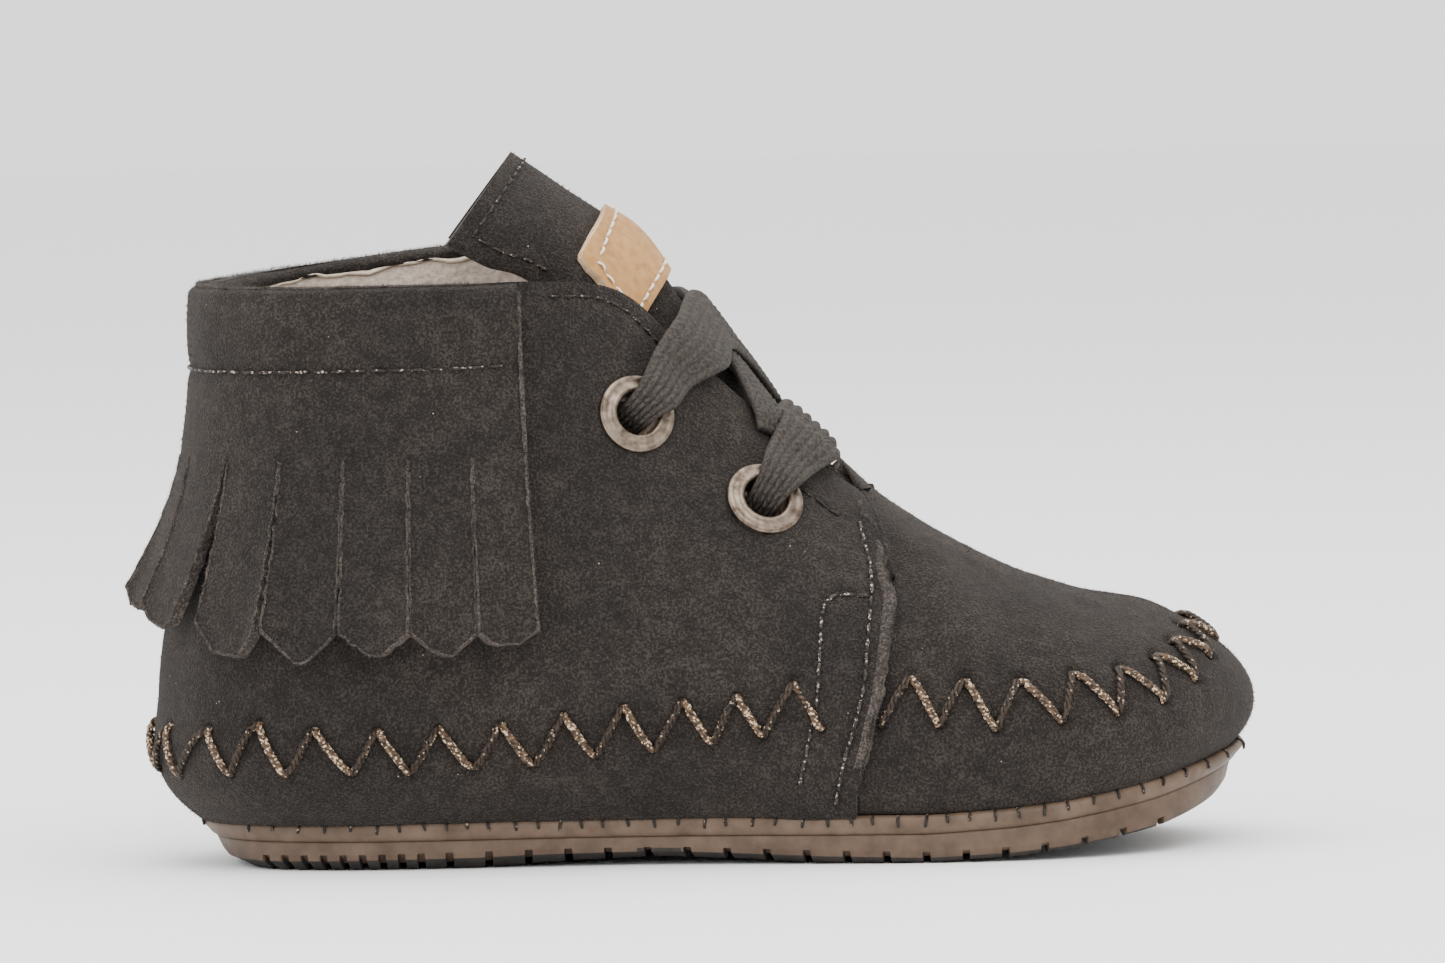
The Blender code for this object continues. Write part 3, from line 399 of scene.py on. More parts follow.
def soleGrid(layers, grooves=(), grooveSection=()):
    # columns of a solid of stacked outlines; a layer is its inset, height, groove and arch shares
    stations = [(outlineAt(index / 8)[0], 0.0) for index in range(8 * (len(outlineRows) - 1) + 1)]
    if grooves:
        length = last["soleLength"]
        cuts = [((groove + shift) / length, depth) for groove in grooves for shift, depth in grooveSection]
        near = max(abs(shift) for shift, depth in grooveSection) * 1.2 / length
        middles = [groove / length for groove in grooves]
        stations = [row for row in stations if min(abs(row[0] - middle) for middle in middles) > near]
        stations = sorted(stations + cuts)
    columns = []
    for station, cut in stations:
        row = rowOfStation(station)
        sides = []
        for side in (outer, inner):
            line = []
            for inset, height, grooveShare, archShare in layers:
                inset, height = (value(station) if callable(value) else value for value in (inset, height))
                plan = edgePoint(side, row, inset)
                if station <= 0.0 or station >= 1.0:
                    plan.y = 0.0
                height += underside(station, archShare) + cut * grooveShare
                line.append(Vector((plan.x, plan.y, height)) + origin)
            sides.append(line)
        columns.append(sides)
    return columns


def soleMesh(name, columns, across=8):
    # closed mesh of those columns: side walls, floor and top
    grid = []
    for left, right in columns:
        floor = [right[0].lerp(left[0], step / across) for step in range(1, across)]
        top = [left[-1].lerp(right[-1], step / across) for step in range(1, across)]
        grid.append(left + top + right[::-1] + floor + [left[0]])
    return gridMesh(name, grid)


def seatedSection(at, clearances, shares):
    # section of the tongue's buried end, just inside the vamp
    points = []
    for side, run in ((outer, shares), (inner, shares[::-1])):
        for share in run:
            here, normal = outside(side, vampRibs, at, share)
            points.append(here - normal * (last["wall"] + clearances * tongue["clearance"]))
        if side == outer:
            here, normal = outside(side, vampRibs, at, 1.0)
            ridge = here - normal * (last["wall"] + clearances * tongue["clearance"])
            ridge.y = origin.y
            points.append(ridge)
    return points


# Tongue: rises through the throat, its tip leaning back
tongue = {
    "clearance": 0.0006,
    "rise": 0.0190,
    "bow": 0.0002,
    "crown": 0.0071,
    "halfWidth": 0.0170,
    "depth": 0.0150,
    "sweep": math.radians(84),
    "across": 32,
    "buried": ((0.9, 1.0), (0.3, 1.2)),
    "throat": (  # row of the quarters, share up the rib, crown
        (10.4, 0.86, 0.20), (9.8, 0.84, 0.46), (9.0, 0.84, 0.62), (8.0, 0.85, 0.82), (7.2, 0.87, 1.00),
    ),
    "tuck": ((1.0, 1.0), (0.5, 1.4), (0.0, 2.4)),
    "free": ((0.35, 0.86, 0.86), (0.70, 0.95, 0.96), (1.00, 1.00, 1.00)),
}


def tongueSections():
    def spread(key):
        rows = [tuple(point) for point in key]
        return [Vector(blendRows(rows, (len(rows) - 1) * step / tongue["across"]))
                for step in range(tongue["across"] + 1)]

    sections = [spread(seatedSection(at, gaps, (0.84, 0.90, 0.96))) for at, gaps in tongue["buried"]]
    for at, under, crown in tongue["throat"]:
        key = {outer: [], inner: []}
        for way, gaps in tongue["tuck"]:
            share = 1 - (1 - under) * way
            for side in (outer, inner):
                here, normal = outside(side, quarterRibs, at, share)
                key[side].append(here - normal * (last["wall"] + gaps * tongue["clearance"]))
        low = rib(outer, quarterRibs, at + 0.3)[0][3]
        high = rib(outer, quarterRibs, at - 0.3)[0][3]
        along = Vector((high.x - low.x, 0.0, high.z - low.z)).normalized()
        outward = Vector((along.z, 0.0, -along.x))
        centre = (key[outer][-1] + key[inner][-1]) / 2 + outward * crown * tongue["crown"]
        sections.append(spread(key[outer] + [centre] + key[inner][::-1]))
    for rise, width, depth in tongue["free"]:
        base = centre + along * rise * tongue["rise"] - outward * rise ** 2 * tongue["bow"]
        row = []
        for step in range(tongue["across"] + 1):
            turn = tongue["sweep"] * (2 * step / tongue["across"] - 1)
            aside = Vector((0.0, math.sin(turn) * width * tongue["halfWidth"], 0.0))
            row.append(base + aside - outward * (1 - math.cos(turn)) * depth * tongue["depth"])
        sections.append(row)
    return sections


def smoothSections(sections, finer):
    # more rows between sections of the same length
    flat = [tuple(value for point in section for value in point) for section in sections]
    rows = []
    for index in range((len(sections) - 1) * finer + 1):
        values = blendRows(flat, index / finer)
        rows.append([Vector(values[i:i + 3]) for i in range(0, len(values), 3)])
    return rows

# Materials

def newMaterial(name, roughness=0.8, metallic=0.0):
    material = bpy.data.materials.new(name)
    material.use_nodes = True
    tree = material.node_tree
    shader = tree.nodes["Principled BSDF"]
    shader.inputs["Roughness"].default_value = roughness
    shader.inputs["Metallic"].default_value = metallic
    return material, tree, shader


def addNode(tree, kind, **settings):
    node = tree.nodes.new("ShaderNode" + kind)
    for key, value in settings.items():
        if key in node.inputs:
            node.inputs[key].default_value = value
        else:
            setattr(node, key, value)
    return node


def spotOf(tree):
    return addNode(tree, "TexCoord").outputs["Object"]


def noiseOf(tree, vector, scale, detail=3.0, rough=0.55):
    texture = addNode(tree, "TexNoise", Scale=scale, Detail=detail, Roughness=rough)
    tree.links.new(vector, texture.inputs["Vector"])
    return texture.outputs["Fac"]


def ramp(tree, value, stops):
    node = addNode(tree, "ValToRGB")
    band = node.color_ramp
    while len(band.elements) < len(stops):
        band.elements.new(0.5)
    for element, (position, colour) in zip(band.elements, stops):
        element.position = position
        element.color = (*colour, 1.0) if len(colour) == 3 else colour
    tree.links.new(value, node.inputs["Fac"])
    return node.outputs["Color"]


def mixColours(tree, factor, first, second, mode="MIX"):
    node = addNode(tree, "Mix", data_type="RGBA", blend_type=mode)
    for socket, value in ((node.inputs[0], factor), (node.inputs[6], first), (node.inputs[7], second)):
        if isinstance(value, bpy.types.NodeSocket):
            tree.links.new(value, socket)
        elif isinstance(value, (int, float)):
            socket.default_value = value
        else:
            socket.default_value = (*value, 1.0)
    return node.outputs[2]


def mathOf(tree, operation, first, second=0.0):
    node = addNode(tree, "Math", operation=operation)
    for socket, value in zip(node.inputs, (first, second)):
        if isinstance(value, bpy.types.NodeSocket):
            tree.links.new(value, socket)
        else:
            socket.default_value = value
    return node.outputs[0]


def addBump(tree, shader, height, distance, strength=1.0, before=None):
    bump = addNode(tree, "Bump", Strength=strength, Distance=distance)
    tree.links.new(height, bump.inputs["Height"])
    if before:
        tree.links.new(before, bump.inputs["Normal"])
    tree.links.new(bump.outputs["Normal"], shader.inputs["Normal"])
    return bump.outputs["Normal"]


suede = {
    "deep": (0.0078, 0.0064, 0.0056),
    "nap": (0.0150, 0.0125, 0.0111),
    "brushed": (0.0360, 0.0304, 0.0268),
    "paintedGlint": (0.55, 0.46, 0.38),  # painted glints: rare bright specks
    "grain": 3400.0,  # specks a metre
    "mottle": 420.0,
    "drift": 60.0,
    "lighter": {"napSuede": 1.0, "cutSuede": 2.3, "rollSuede": 2.7},  # cut and rolled edges are lighter
}


def suedeMaterial(name, lighter=1.0):
    material, tree, shader = newMaterial(name, 0.95)
    keys = ("deep", "nap", "brushed")
    deep, nap, brushed = (tuple(part * lighter for part in suede[key]) for key in keys)
    where = spotOf(tree)
    fine = noiseOf(tree, where, suede["grain"], 2.0, 0.6)
    mottle = noiseOf(tree, where, suede["mottle"], 4.0, 0.6)
    drift = noiseOf(tree, where, suede["drift"], 2.0)
    fineShare = mathOf(tree, "MULTIPLY", fine, 0.72)
    blend = mathOf(tree, "ADD", fineShare, mathOf(tree, "MULTIPLY", mottle, 0.28))
    colour = ramp(tree, blend, ((0.39, deep), (0.50, nap), (0.61, brushed)))
    tint = ramp(tree, drift, ((0.32, (0.78, 0.78, 0.79)), (0.68, (1.26, 1.20, 1.15))))
    colour = mixColours(tree, 1.0, colour, tint, "MULTIPLY")
    # painted glints: rare bright specks mixed into the base colour
    sparks = addNode(tree, "TexVoronoi", Scale=900.0)
    tree.links.new(where, sparks.inputs["Vector"])
    rare = ramp(tree, sparks.outputs["Distance"], ((0.055, (1, 1, 1)), (0.075, (0, 0, 0))))
    chosen = ramp(tree, noiseOf(tree, where, 260.0, 1.0), ((0.66, (0, 0, 0)), (0.68, (1, 1, 1))))
    paintedGlintSpots = mixColours(tree, 1.0, rare, chosen, "MULTIPLY")
    colour = mixColours(tree, paintedGlintSpots, colour, suede["paintedGlint"])
    tree.links.new(colour, shader.inputs["Base Color"])
    shader.inputs["Specular IOR Level"].default_value = 0.15
    shader.inputs["Sheen Weight"].default_value = 0.07
    shader.inputs["Sheen Roughness"].default_value = 0.6
    shader.inputs["Sheen Tint"].default_value = (0.75, 0.66, 0.58, 1.0)
    coarse = addBump(tree, shader, mottle, 0.0004, 0.3)
    addBump(tree, shader, fine, 0.0005, 0.9, coarse)
    return material


def plainMaterial(name, dark, light, scale, roughness, bumpDepth, metallic=0.0, detail=4.0):
    material, tree, shader = newMaterial(name, roughness, metallic)
    where = spotOf(tree)
    grain = noiseOf(tree, where, scale, detail, 0.6)
    tree.links.new(ramp(tree, grain, ((0.35, dark), (0.65, light))), shader.inputs["Base Color"])
    addBump(tree, shader, grain, bumpDepth, 0.6)
    if not metallic:
        shader.inputs["Specular IOR Level"].default_value = 0.25
    return material


def threadMaterial(name, dark, light, paintedGlint, share):
    # spun thread with painted glints: bright spots mixed into the base colour, with lower roughness on them
    material, tree, shader = newMaterial(name, 0.5)
    where = spotOf(tree)
    grain = noiseOf(tree, where, 1800.0, 3.0)
    colour = ramp(tree, grain, ((0.36, dark), (0.64, light)))
    cells = addNode(tree, "TexVoronoi", Scale=4200.0)
    tree.links.new(where, cells.inputs["Vector"])
    split = addNode(tree, "SeparateColor")
    tree.links.new(cells.outputs["Color"], split.inputs[0])
    # mask of the painted glint spots
    paintedGlintSpots = mathOf(tree, "GREATER_THAN", split.outputs[0], 1 - share)
    tree.links.new(mixColours(tree, paintedGlintSpots, colour, paintedGlint), shader.inputs["Base Color"])
    gloss = mathOf(tree, "MULTIPLY", paintedGlintSpots, 0.3)
    tree.links.new(mathOf(tree, "SUBTRACT", 0.55, gloss), shader.inputs["Roughness"])
    addBump(tree, shader, grain, 0.0002, 0.6)
    shader.inputs["Specular IOR Level"].default_value = 0.3
    return material


plainFinishes = {  # dark, light, specks a metre, roughness, depth of the bump, metallic
    "soleRubber": ((0.062, 0.039, 0.025), (0.100, 0.066, 0.044), 300.0, 0.55, 0.0002),
    # painted shade: near-black rubber on the underside bevel, standing for the shade under the sole
    "soleUndersidePaintedShade": ((0.018, 0.015, 0.013), (0.032, 0.027, 0.024), 500.0, 0.75, 0.0002),
    "randLeather": ((0.068, 0.043, 0.027), (0.120, 0.080, 0.054), 260.0, 0.5, 0.0002),
    "creamEdge": ((0.72, 0.58, 0.44), (0.86, 0.75, 0.62), 900.0, 0.6, 0.0003),
    "liningCloth": ((0.40, 0.33, 0.27), (0.60, 0.51, 0.43), 1100.0, 0.9, 0.0008),
    "insoleCloth": ((0.42, 0.35, 0.28), (0.56, 0.48, 0.40), 800.0, 0.9, 0.0004),
    "labelEdge": ((0.50, 0.34, 0.20), (0.68, 0.50, 0.33), 1200.0, 0.8, 0.0003),
    "labelLeather": ((0.33, 0.162, 0.052), (0.43, 0.236, 0.088), 700.0, 0.55, 0.0002),
    "creamThread": ((0.70, 0.60, 0.48), (0.85, 0.76, 0.64), 2500.0, 0.6, 0.0002),
    "laceBraid": ((0.017, 0.014, 0.0115), (0.058, 0.048, 0.040), 2600.0, 0.75, 0.0003),
    "bronze": ((0.075, 0.056, 0.042), (0.23, 0.18, 0.14), 700.0, 0.36, 0.00005, 1.0),
    # painted shade: near-black for the needle holes' dark openings
    "holeShadePaint": ((0.004, 0.0035, 0.003), (0.008, 0.007, 0.006), 900.0, 0.95, 0.0001),
    "fibreLight": ((0.035, 0.029, 0.025), (0.13, 0.110, 0.096), 700.0, 0.9, 0.0001),
    "fibreDark": ((0.018, 0.0145, 0.0125), (0.075, 0.062, 0.053), 700.0, 0.9, 0.0001),
}
threadFinishes = {  # dark, light, painted glint colour, share of painted glint spots
    "darkThread": ((0.005, 0.004, 0.003), (0.024, 0.017, 0.012), (0.20, 0.16, 0.12), 0.07),
    # the zigzag's two finishes are lit and shaded copies of one thread: the lighter, with more glints,
    # paints light on legs leaning one way; the darker paints shade on the others
    "seamThreadPaintedShade": ((0.010, 0.006, 0.0035), (0.038, 0.023, 0.013), (0.30, 0.22, 0.15), 0.04),
    "seamThreadPaintedLit": ((0.020, 0.012, 0.007), (0.110, 0.066, 0.036), (0.50, 0.37, 0.25), 0.20),
    "cuffThread": ((0.007, 0.005, 0.004), (0.026, 0.018, 0.014), (0.30, 0.24, 0.19), 0.10),
    "paleThread": ((0.012, 0.0095, 0.008), (0.050, 0.040, 0.032), (0.38, 0.32, 0.27), 0.16),
}
finish = {name: suedeMaterial(name, lighter) for name, lighter in suede["lighter"].items()}
finish.update({name: plainMaterial(name, *values) for name, values in plainFinishes.items()})
finish.update({name: threadMaterial(name, *values) for name, values in threadFinishes.items()})
print("materials made")

# Finding places by the photograph's pixels

def pixelRay(across, down):
    width, height = shot["size"]
    scale = camera.data.sensor_width / camera.data.lens / width
    aim = Vector(((across - width / 2) * scale, -(down - height / 2) * scale, -1.0))
    return camera.matrix_world.translation.copy(), (camera.matrix_world.to_3x3() @ aim).normalized()


def pixelOf(point):
    width, height = shot["size"]
    seen = camera.matrix_world.inverted() @ point
    scale = camera.data.lens / camera.data.sensor_width * width / -seen.z
    return seen.x * scale + width / 2, height / 2 - seen.y * scale


def nearestHit(trees, start, aim):
    # nearest surface along a ray, with its direction towards the start
    hits = [hit for hit in (tree.ray_cast(start, aim) for tree in trees) if hit[0]]
    if not hits:
        return None
    point, normal = min(hits, key=lambda hit: hit[3])[:2]
    return point, normal if normal.dot(aim) < 0 else -normal


def castPixel(trees, side, across, down):
    # nearest surface under a pixel; the inner side takes its mirror image
    start, aim = pixelRay(across, down)
    if side == inner:
        start.y = 2 * origin.y - start.y
        aim.y = -aim.y
    return nearestHit(trees, start, aim)


def castLine(trees, side, pixels, spacing):
    # places at an even spacing along a line drawn over the photograph
    found = []
    for (x0, y0), (x1, y1) in zip(pixels, pixels[1:]):
        steps = max(2, round(math.hypot(x1 - x0, y1 - y0) / 2))
        for step in range(steps):
            share = step / steps
            hit = castPixel(trees, side, x0 + (x1 - x0) * share, y0 + (y1 - y0) * share)
            if hit:
                found.append(hit)
    return evenly(found, spacing) if found else []


def evenly(found, spacing):
    # places at an even spacing along found ones, skipping over wide gaps
    places, wanted, run = [found[0]], spacing, 0.0
    for (before, normalBefore), (here, normal) in zip(found, found[1:]):
        length = (here - before).length
        if length > 0.004:
            continue
        while length > 0 and run + length >= wanted:
            share = (wanted - run) / length
            places.append((before.lerp(here, share), normalBefore.lerp(normal, share).normalized()))
            wanted += spacing
        run += length
    return places


# Joined small parts: one list of corners and faces for each piece

def newParts():
    return {"corners": [], "faces": [], "kinds": []}


def partsPiece(name, parts, materials, slotName, smooth=True):
    mesh = bpy.data.meshes.new(name)
    mesh.from_pydata(parts["corners"], [], parts["faces"])
    piece = addPiece(name, mesh, materials[0], slotName)
    for extra in materials[1:]:
        mesh.materials.append(extra)
    mesh.polygons.foreach_set("material_index", parts["kinds"])
    if smooth:
        mesh.shade_smooth()
    mesh.update()
    return piece


def addTube(parts, centres, radii, sides=6, kind=0, flat=1.0, up=None):
    # tube along a line; flat squashes it along up
    first = len(parts["corners"])
    count = len(centres)
    for index, (centre, radius) in enumerate(zip(centres, radii)):
        ahead = centres[min(index + 1, count - 1)] - centres[max(index - 1, 0)]
        ahead = ahead.normalized() if ahead.length > 0 else Vector((1, 0, 0))
        hint = up[index] if up else (Vector((0, 0, 1)) if abs(ahead.z) < 0.9 else Vector((1, 0, 0)))
        aside = ahead.cross(hint).normalized()
        above = aside.cross(ahead).normalized()
        for step in range(sides):
            turn = 2 * math.pi * step / sides
            around = aside * math.cos(turn) + above * math.sin(turn) * flat
            parts["corners"].append(centre + around * radius)
    for index in range(count - 1):
        for step in range(sides):
            low, high = first + index * sides, first + (index + 1) * sides
            after = (step + 1) % sides
            parts["faces"].append((low + step, low + after, high + after, high + step))
            parts["kinds"].append(kind)
    for start, order in ((first, range(sides - 1, -1, -1)), (first + (count - 1) * sides, range(sides))):
        parts["faces"].append(tuple(start + step for step in order))
        parts["kinds"].append(kind)


def addHair(parts, root, aim, length, width, kind=0):
    first = len(parts["corners"])
    aside = aim.cross(Vector([random.uniform(-1, 1) for _ in range(3)])).normalized()
    parts["corners"] += [root - aside * width / 2, root + aside * width / 2, root + aim * length]
    parts["faces"].append((first, first + 1, first + 2))
    parts["kinds"].append(kind)


def readMesh(mesh):
    points = numpy.empty(len(mesh.vertices) * 3)
    normals = numpy.empty(len(mesh.vertices) * 3)
    mesh.vertices.foreach_get("co", points)
    mesh.vertex_normals.foreach_get("vector", normals)
    return points.reshape(-1, 3), normals.reshape(-1, 3)


def writeMesh(mesh, points):
    mesh.vertices.foreach_set("co", points.ravel())
    mesh.update()


def press(mesh, places, reach, depth):
    # a soft trough (or with a negative depth a ridge) along places
    points, normals = readMesh(mesh)
    nearest = numpy.full(len(points), 1.0)
    for place in places:
        nearest = numpy.minimum(nearest, ((points - numpy.array(place[0])) ** 2).sum(axis=1))
    fall = numpy.clip(1 - nearest / reach ** 2, 0, 1) ** 2
    writeMesh(mesh, points - normals * (depth * fall)[:, None])


def faceOut(mesh, towards=None):
    # most of a sheet faces away from the shoe's middle, or towards a direction
    total = 0.0
    for face in mesh.polygons:
        away = towards or face.center - Vector((face.center.x * 0.6, origin.y, 0.03))
        total += face.normal.dot(away) * face.area
    if total < 0:
        mesh.flip_normals()
    mesh.update()


def roughen(mesh, amount, scale):
    # low soft waves over a sheet
    points, normals = readMesh(mesh)
    waves = []
    for point in points:
        spot = Vector(point) * scale
        waves.append(noise.noise(spot) + 0.5 * noise.noise(spot * 2.3 + Vector((3, 1, 2))))
    writeMesh(mesh, points + normals * (numpy.array(waves) * amount)[:, None])


def inflate(mesh, amount):
    points, normals = readMesh(mesh)
    writeMesh(mesh, points + normals * amount)


# Upper: quarters, vamp and lining
upper = {
    "perRow": 15,  # columns between two ribs of a table
    "levels": 88,
    "quarterThickness": 0.0019,
    "vampLift": (0.0002, 0.0007),  # at the flap, and past the ball
    "vampThickness": 0.0014,
    "liningThickness": 0.0007,
    "liningIn": 0.0011,
    "liningDrop": 0.0017,  # lining's edge below the collar's rim
    "waves": 0.00022,
    "waveScale": 75.0,
    "flapFade": 0.014,  # how far back the flap's front edge is moved to the photograph's
}
flapPixels = (  # front edge of the flap, top to bottom
    (860, 510), (876, 524), (887, 546), (885, 564), (892, 586), (895, 600), (891, 631),
    (884, 674), (876, 715), (867, 755), (856, 795), (848, 818),
)
# Creases: pixels along them, reach and depth in millimetres
creases = (
    (((905, 560), (915, 610), (925, 660)), 5.0, 0.45),
    (((935, 545), (955, 600), (975, 650)), 6.0, -0.35),
    (((980, 575), (995, 620), (1010, 655)), 6.0, 0.40),
    (((1040, 600), (1060, 640)), 6.0, -0.25),
    (((1090, 610), (1110, 650)), 5.0, 0.25),
    (((915, 745), (980, 765), (1060, 755)), 6.0, 0.30),
    (((1120, 740), (1180, 730), (1225, 700)), 6.0, -0.30),
    (((700, 560), (740, 600), (760, 660)), 9.0, 0.35),
    (((640, 520), (660, 590), (640, 670)), 10.0, -0.35),
    (((580, 480), (590, 560), (600, 640)), 8.0, 0.35),
    (((700, 440), (720, 470), (745, 540)), 8.0, 0.30),
    (((600, 330), (585, 380), (590, 450)), 7.0, -0.30),
    (((230, 680), (330, 690), (450, 690)), 8.0, 0.30),
    (((200, 790), (300, 800), (420, 796)), 6.0, -0.30),
    (((500, 720), (620, 690), (700, 660)), 7.0, -0.25),
    (((520, 800), (640, 795), (740, 785)), 6.0, 0.30),
    (((820, 600), (810, 700), (795, 800)), 4.0, 0.25),
)


def ribColumns(side, rows, start, end, highest=None):
    # columns of points up the ribs of a table, from one row to another
    levels = upper["levels"]
    count = max(1, round(abs(end - start) * upper["perRow"]))
    grid = []
    for index in range(count + 1):
        at = start + (end - start) * index / count
        points = rib(side, rows, at)[0]
        top = highest(side, at, points) if highest else 1.0
        grid.append([onRib(points, top * level / levels) for level in range(levels + 1)])
    return grid


def tuckedTop(side, at, points):
    # the vamp's top edge drops under the quarters
    return 1 - 0.14 * (len(quarterRibs) - 1 - at)


def softenThroat(maker):
    # evens the sheet where its ribs meet at the throat, and rounds its middle
    inside = [vert for vert in maker.verts if not vert.is_boundary]
    throat = [vert for vert in inside if vert.co.z > 0.036 and vert.co.x < origin.x + 0.68 * last["length"]]
    near = [vert for vert in inside if abs(vert.co.y - origin.y) < 0.007]
    rim = [vert for vert in maker.verts if vert.is_boundary and vert.co.z > 0.040]
    axes = {"use_axis_x": True, "use_axis_y": True, "use_axis_z": True}
    for turn in range(40):
        bmesh.ops.smooth_vert(maker, verts=throat, factor=0.5, **axes)
        if turn >= 16:
            continue
        bmesh.ops.smooth_vert(maker, verts=near, factor=0.5, **axes)
        moved = {}
        for vert in rim:
            ends = [edge.other_vert(vert).co for edge in vert.link_edges if edge.is_boundary]
            if len(ends) == 2:
                moved[vert] = vert.co.lerp((ends[0] + ends[1]) / 2, 0.5)
        for vert, spot in moved.items():
            vert.co = spot


def vampSheet():
    maker = bmesh.new()
    for side in (outer, inner):
        front = len(quarterRibs) - 1
        grid = ribColumns(side, quarterRibs, front - 1.6, front, tuckedTop)[:-1]
        grid += ribColumns(side, tabRibs, 0, len(tabRibs) - 1)[:-1]
        grid += ribColumns(side, vampRibs, 0, len(vampRibs) - 1)
        mesh = gridMesh("half", grid)
        maker.from_mesh(mesh)
        bpy.data.meshes.remove(mesh)
    middle = [vert for vert in maker.verts if abs(vert.co.y - origin.y) < 0.00005]
    bmesh.ops.remove_doubles(maker, verts=middle, dist=0.00003)
    bmesh.ops.recalc_face_normals(maker, faces=maker.faces)
    softenThroat(maker)
    toeTip = Vector((origin.x + 0.975 * last["length"], origin.y, 0.0290))
    for vert in maker.verts:  # flatter just above the toe's tip
        share = max(0.0, 1 - (vert.co - toeTip).length / 0.016)
        vert.co += Vector((-0.6, 0, -0.8)) * 0.0018 * share ** 2 * (3 - 2 * share)
    mesh = bpy.data.meshes.new("vamp")
    maker.to_mesh(mesh)
    maker.free()
    faceOut(mesh)
    points, normals = readMesh(mesh)
    past = numpy.clip((points[:, 0] - (origin.x + 0.64 * last["length"])) / 0.022, 0, 1)
    past *= numpy.clip((origin.x + last["length"] * 0.985 - points[:, 0]) / 0.012, 0, 1)
    low, high = upper["vampLift"]
    writeMesh(mesh, points + normals * (low + (high - low) * past)[:, None])
    return mesh


def flapTarget(height):
    # how far forward the photograph's flap edge stands at a height
    for (z0, x0), (z1, x1) in zip(flapHeights, flapHeights[1:]):
        if z1 <= height <= z0:
            return x0 + (x1 - x0) * (z0 - height) / (z0 - z1)
    return flapHeights[0][1] if height > flapHeights[0][0] else flapHeights[-1][1]


vampMesh = vampSheet()
vampTree = treeOf(vampMesh)
flapHits = [castPixel([vampTree], outer, *pixel) for pixel in flapPixels]
flapHeights = [(hit[0].z, hit[0].x) for hit in flapHits if hit]


def quarterSheet():
    front = len(quarterRibs) - 1
    grid = ribColumns(outer, quarterRibs, front, 0) + ribColumns(inner, quarterRibs, 0, front)[1:]
    skin = offsetGrid(grid, gridNormals(grid, -1), lambda i, j, point: last["flap"])
    edges = {outer: [point.copy() for point in skin[0]], inner: [point.copy() for point in skin[-1]]}
    fade = upper["flapFade"]
    for i, line in enumerate(skin):
        side = outer if i < len(skin) / 2 else inner
        for j, point in enumerate(line):
            edge = edges[side][j]
            back = edge.x - point.x
            ceiling = flapHeights[2][0] + 0.003
            if back > fade or back < -0.0001 or point.z > ceiling:
                continue
            share = (1 - back / fade) ** 2 * (3 - 2 * (1 - back / fade))
            top = min(1.0, (ceiling - point.z) / 0.006)
            move = min(0.0022, max(-0.0022, flapTarget(point.z) - edge.x))
            moved = point + Vector((move * share * top, 0, 0))
            spot, normal = vampTree.find_nearest(moved)[:2]
            if (spot - moved).length < 0.004:
                outward = normal if normal.dot(Vector((0.3, side, 0.2))) > 0 else -normal
                settled = spot + outward * (last["flap"] - upper["vampLift"][0] + 0.0002)
                point.xyz = moved.lerp(settled, min(1.0, share * 1.5))
    mesh = gridMesh("quarters", skin)
    faceOut(mesh)
    return mesh


quarterMesh = quarterSheet()
quarterTree = treeOf(quarterMesh)
shellTrees = [quarterTree, vampTree]

# Seams drawn over the photograph: pixels of each line
seams = {
    "throat": ((548, 296), (583, 296), (606, 300), (628, 312), (646, 329), (661, 344), (664, 356)),
    "throatLow": ((800, 488), (815, 498), (832, 511), (848, 519)),
    "flapEdge": (
        (859, 519), (864, 540), (871, 567), (872, 589), (869, 626), (864, 688), (853, 733), (845, 757),
        (837, 797), (834, 812),
    ),
    "flapInner": (
        (870, 595), (837, 594), (826, 600), (822, 615), (820, 647), (818, 674), (816, 706), (808, 744),
        (800, 781), (797, 797),
    ),
}
# Needle holes of the zigzag: pixels, from the heel forward
zigzag = {
    "heelLow": (
        (190, 772), (237, 772), (288, 774), (351, 775), (411, 774), (472, 770), (533, 767), (596, 758),
        (654, 753), (713, 745), (763, 737), (822, 731),
    ),
    "heelHigh": (
        (173, 724), (210, 727), (259, 723), (315, 729), (377, 729), (440, 727), (501, 723), (563, 715),
        (624, 705), (683, 700), (737, 696), (793, 682),
    ),
    "toeLow": (
        (880, 727), (939, 728), (997, 729), (1063, 722), (1118, 714), (1165, 701), (1197, 679), (1212, 655),
        (1214, 634),
    ),
    "toeHigh": (
        (910, 675), (965, 679), (1019, 679), (1072, 672), (1118, 667), (1153, 655), (1170, 640),
        (1179, 623), (1174, 610),
    ),
    "backShift": 0.0042,  # holes to each side of the heel's middle
    "topBack": 0.0606,  # where the toe's middle hole stands
    "topFore": 0.0655,
    "topShift": 0.0036,
}

seamPlaces = {
    (name, side): castLine(shellTrees, side, pixels, 0.0004)
    for name, pixels in seams.items() for side in (outer, inner)
}


def byTurns(first, second):
    return [point for pair in zip(first, second) for point in pair]


def zigzagRound():
    # two runs: round the heel from flap to flap, and round the toe
    def holes(side, first, second):
        return [castPixel(shellTrees, side, *pixel) for pixel in byTurns(zigzag[first], zigzag[second])]

    heels = {side: holes(side, "heelHigh", "heelLow") for side in (outer, inner)}
    toes = {side: holes(side, "toeLow", "toeHigh") for side in (outer, inner)}
    upZ, lowZ = heels[outer][0][0].z, heels[outer][1][0].z
    shift = zigzag["backShift"]
    back = [
        nearestHit(shellTrees, Vector((-0.2, origin.y + aside, height)), Vector((1, 0, 0)))
        for aside, height in ((-shift, lowZ), (0.0, upZ), (shift, lowZ))
    ]
    shift, fore = zigzag["topShift"], zigzag["topFore"]
    top = [
        nearestHit(shellTrees, Vector((x, origin.y + aside, 0.2)), Vector((0, 0, -1)))
        for x, aside in ((fore, -shift), (zigzag["topBack"], 0.0), (fore, shift))
    ]
    heelRun = heels[outer][::-1] + back + heels[inner]
    toeRun = toes[outer] + top + toes[inner][::-1]
    return [[hole for hole in run if hole] for run in (heelRun, toeRun)]


zigzagRuns = zigzagRound()


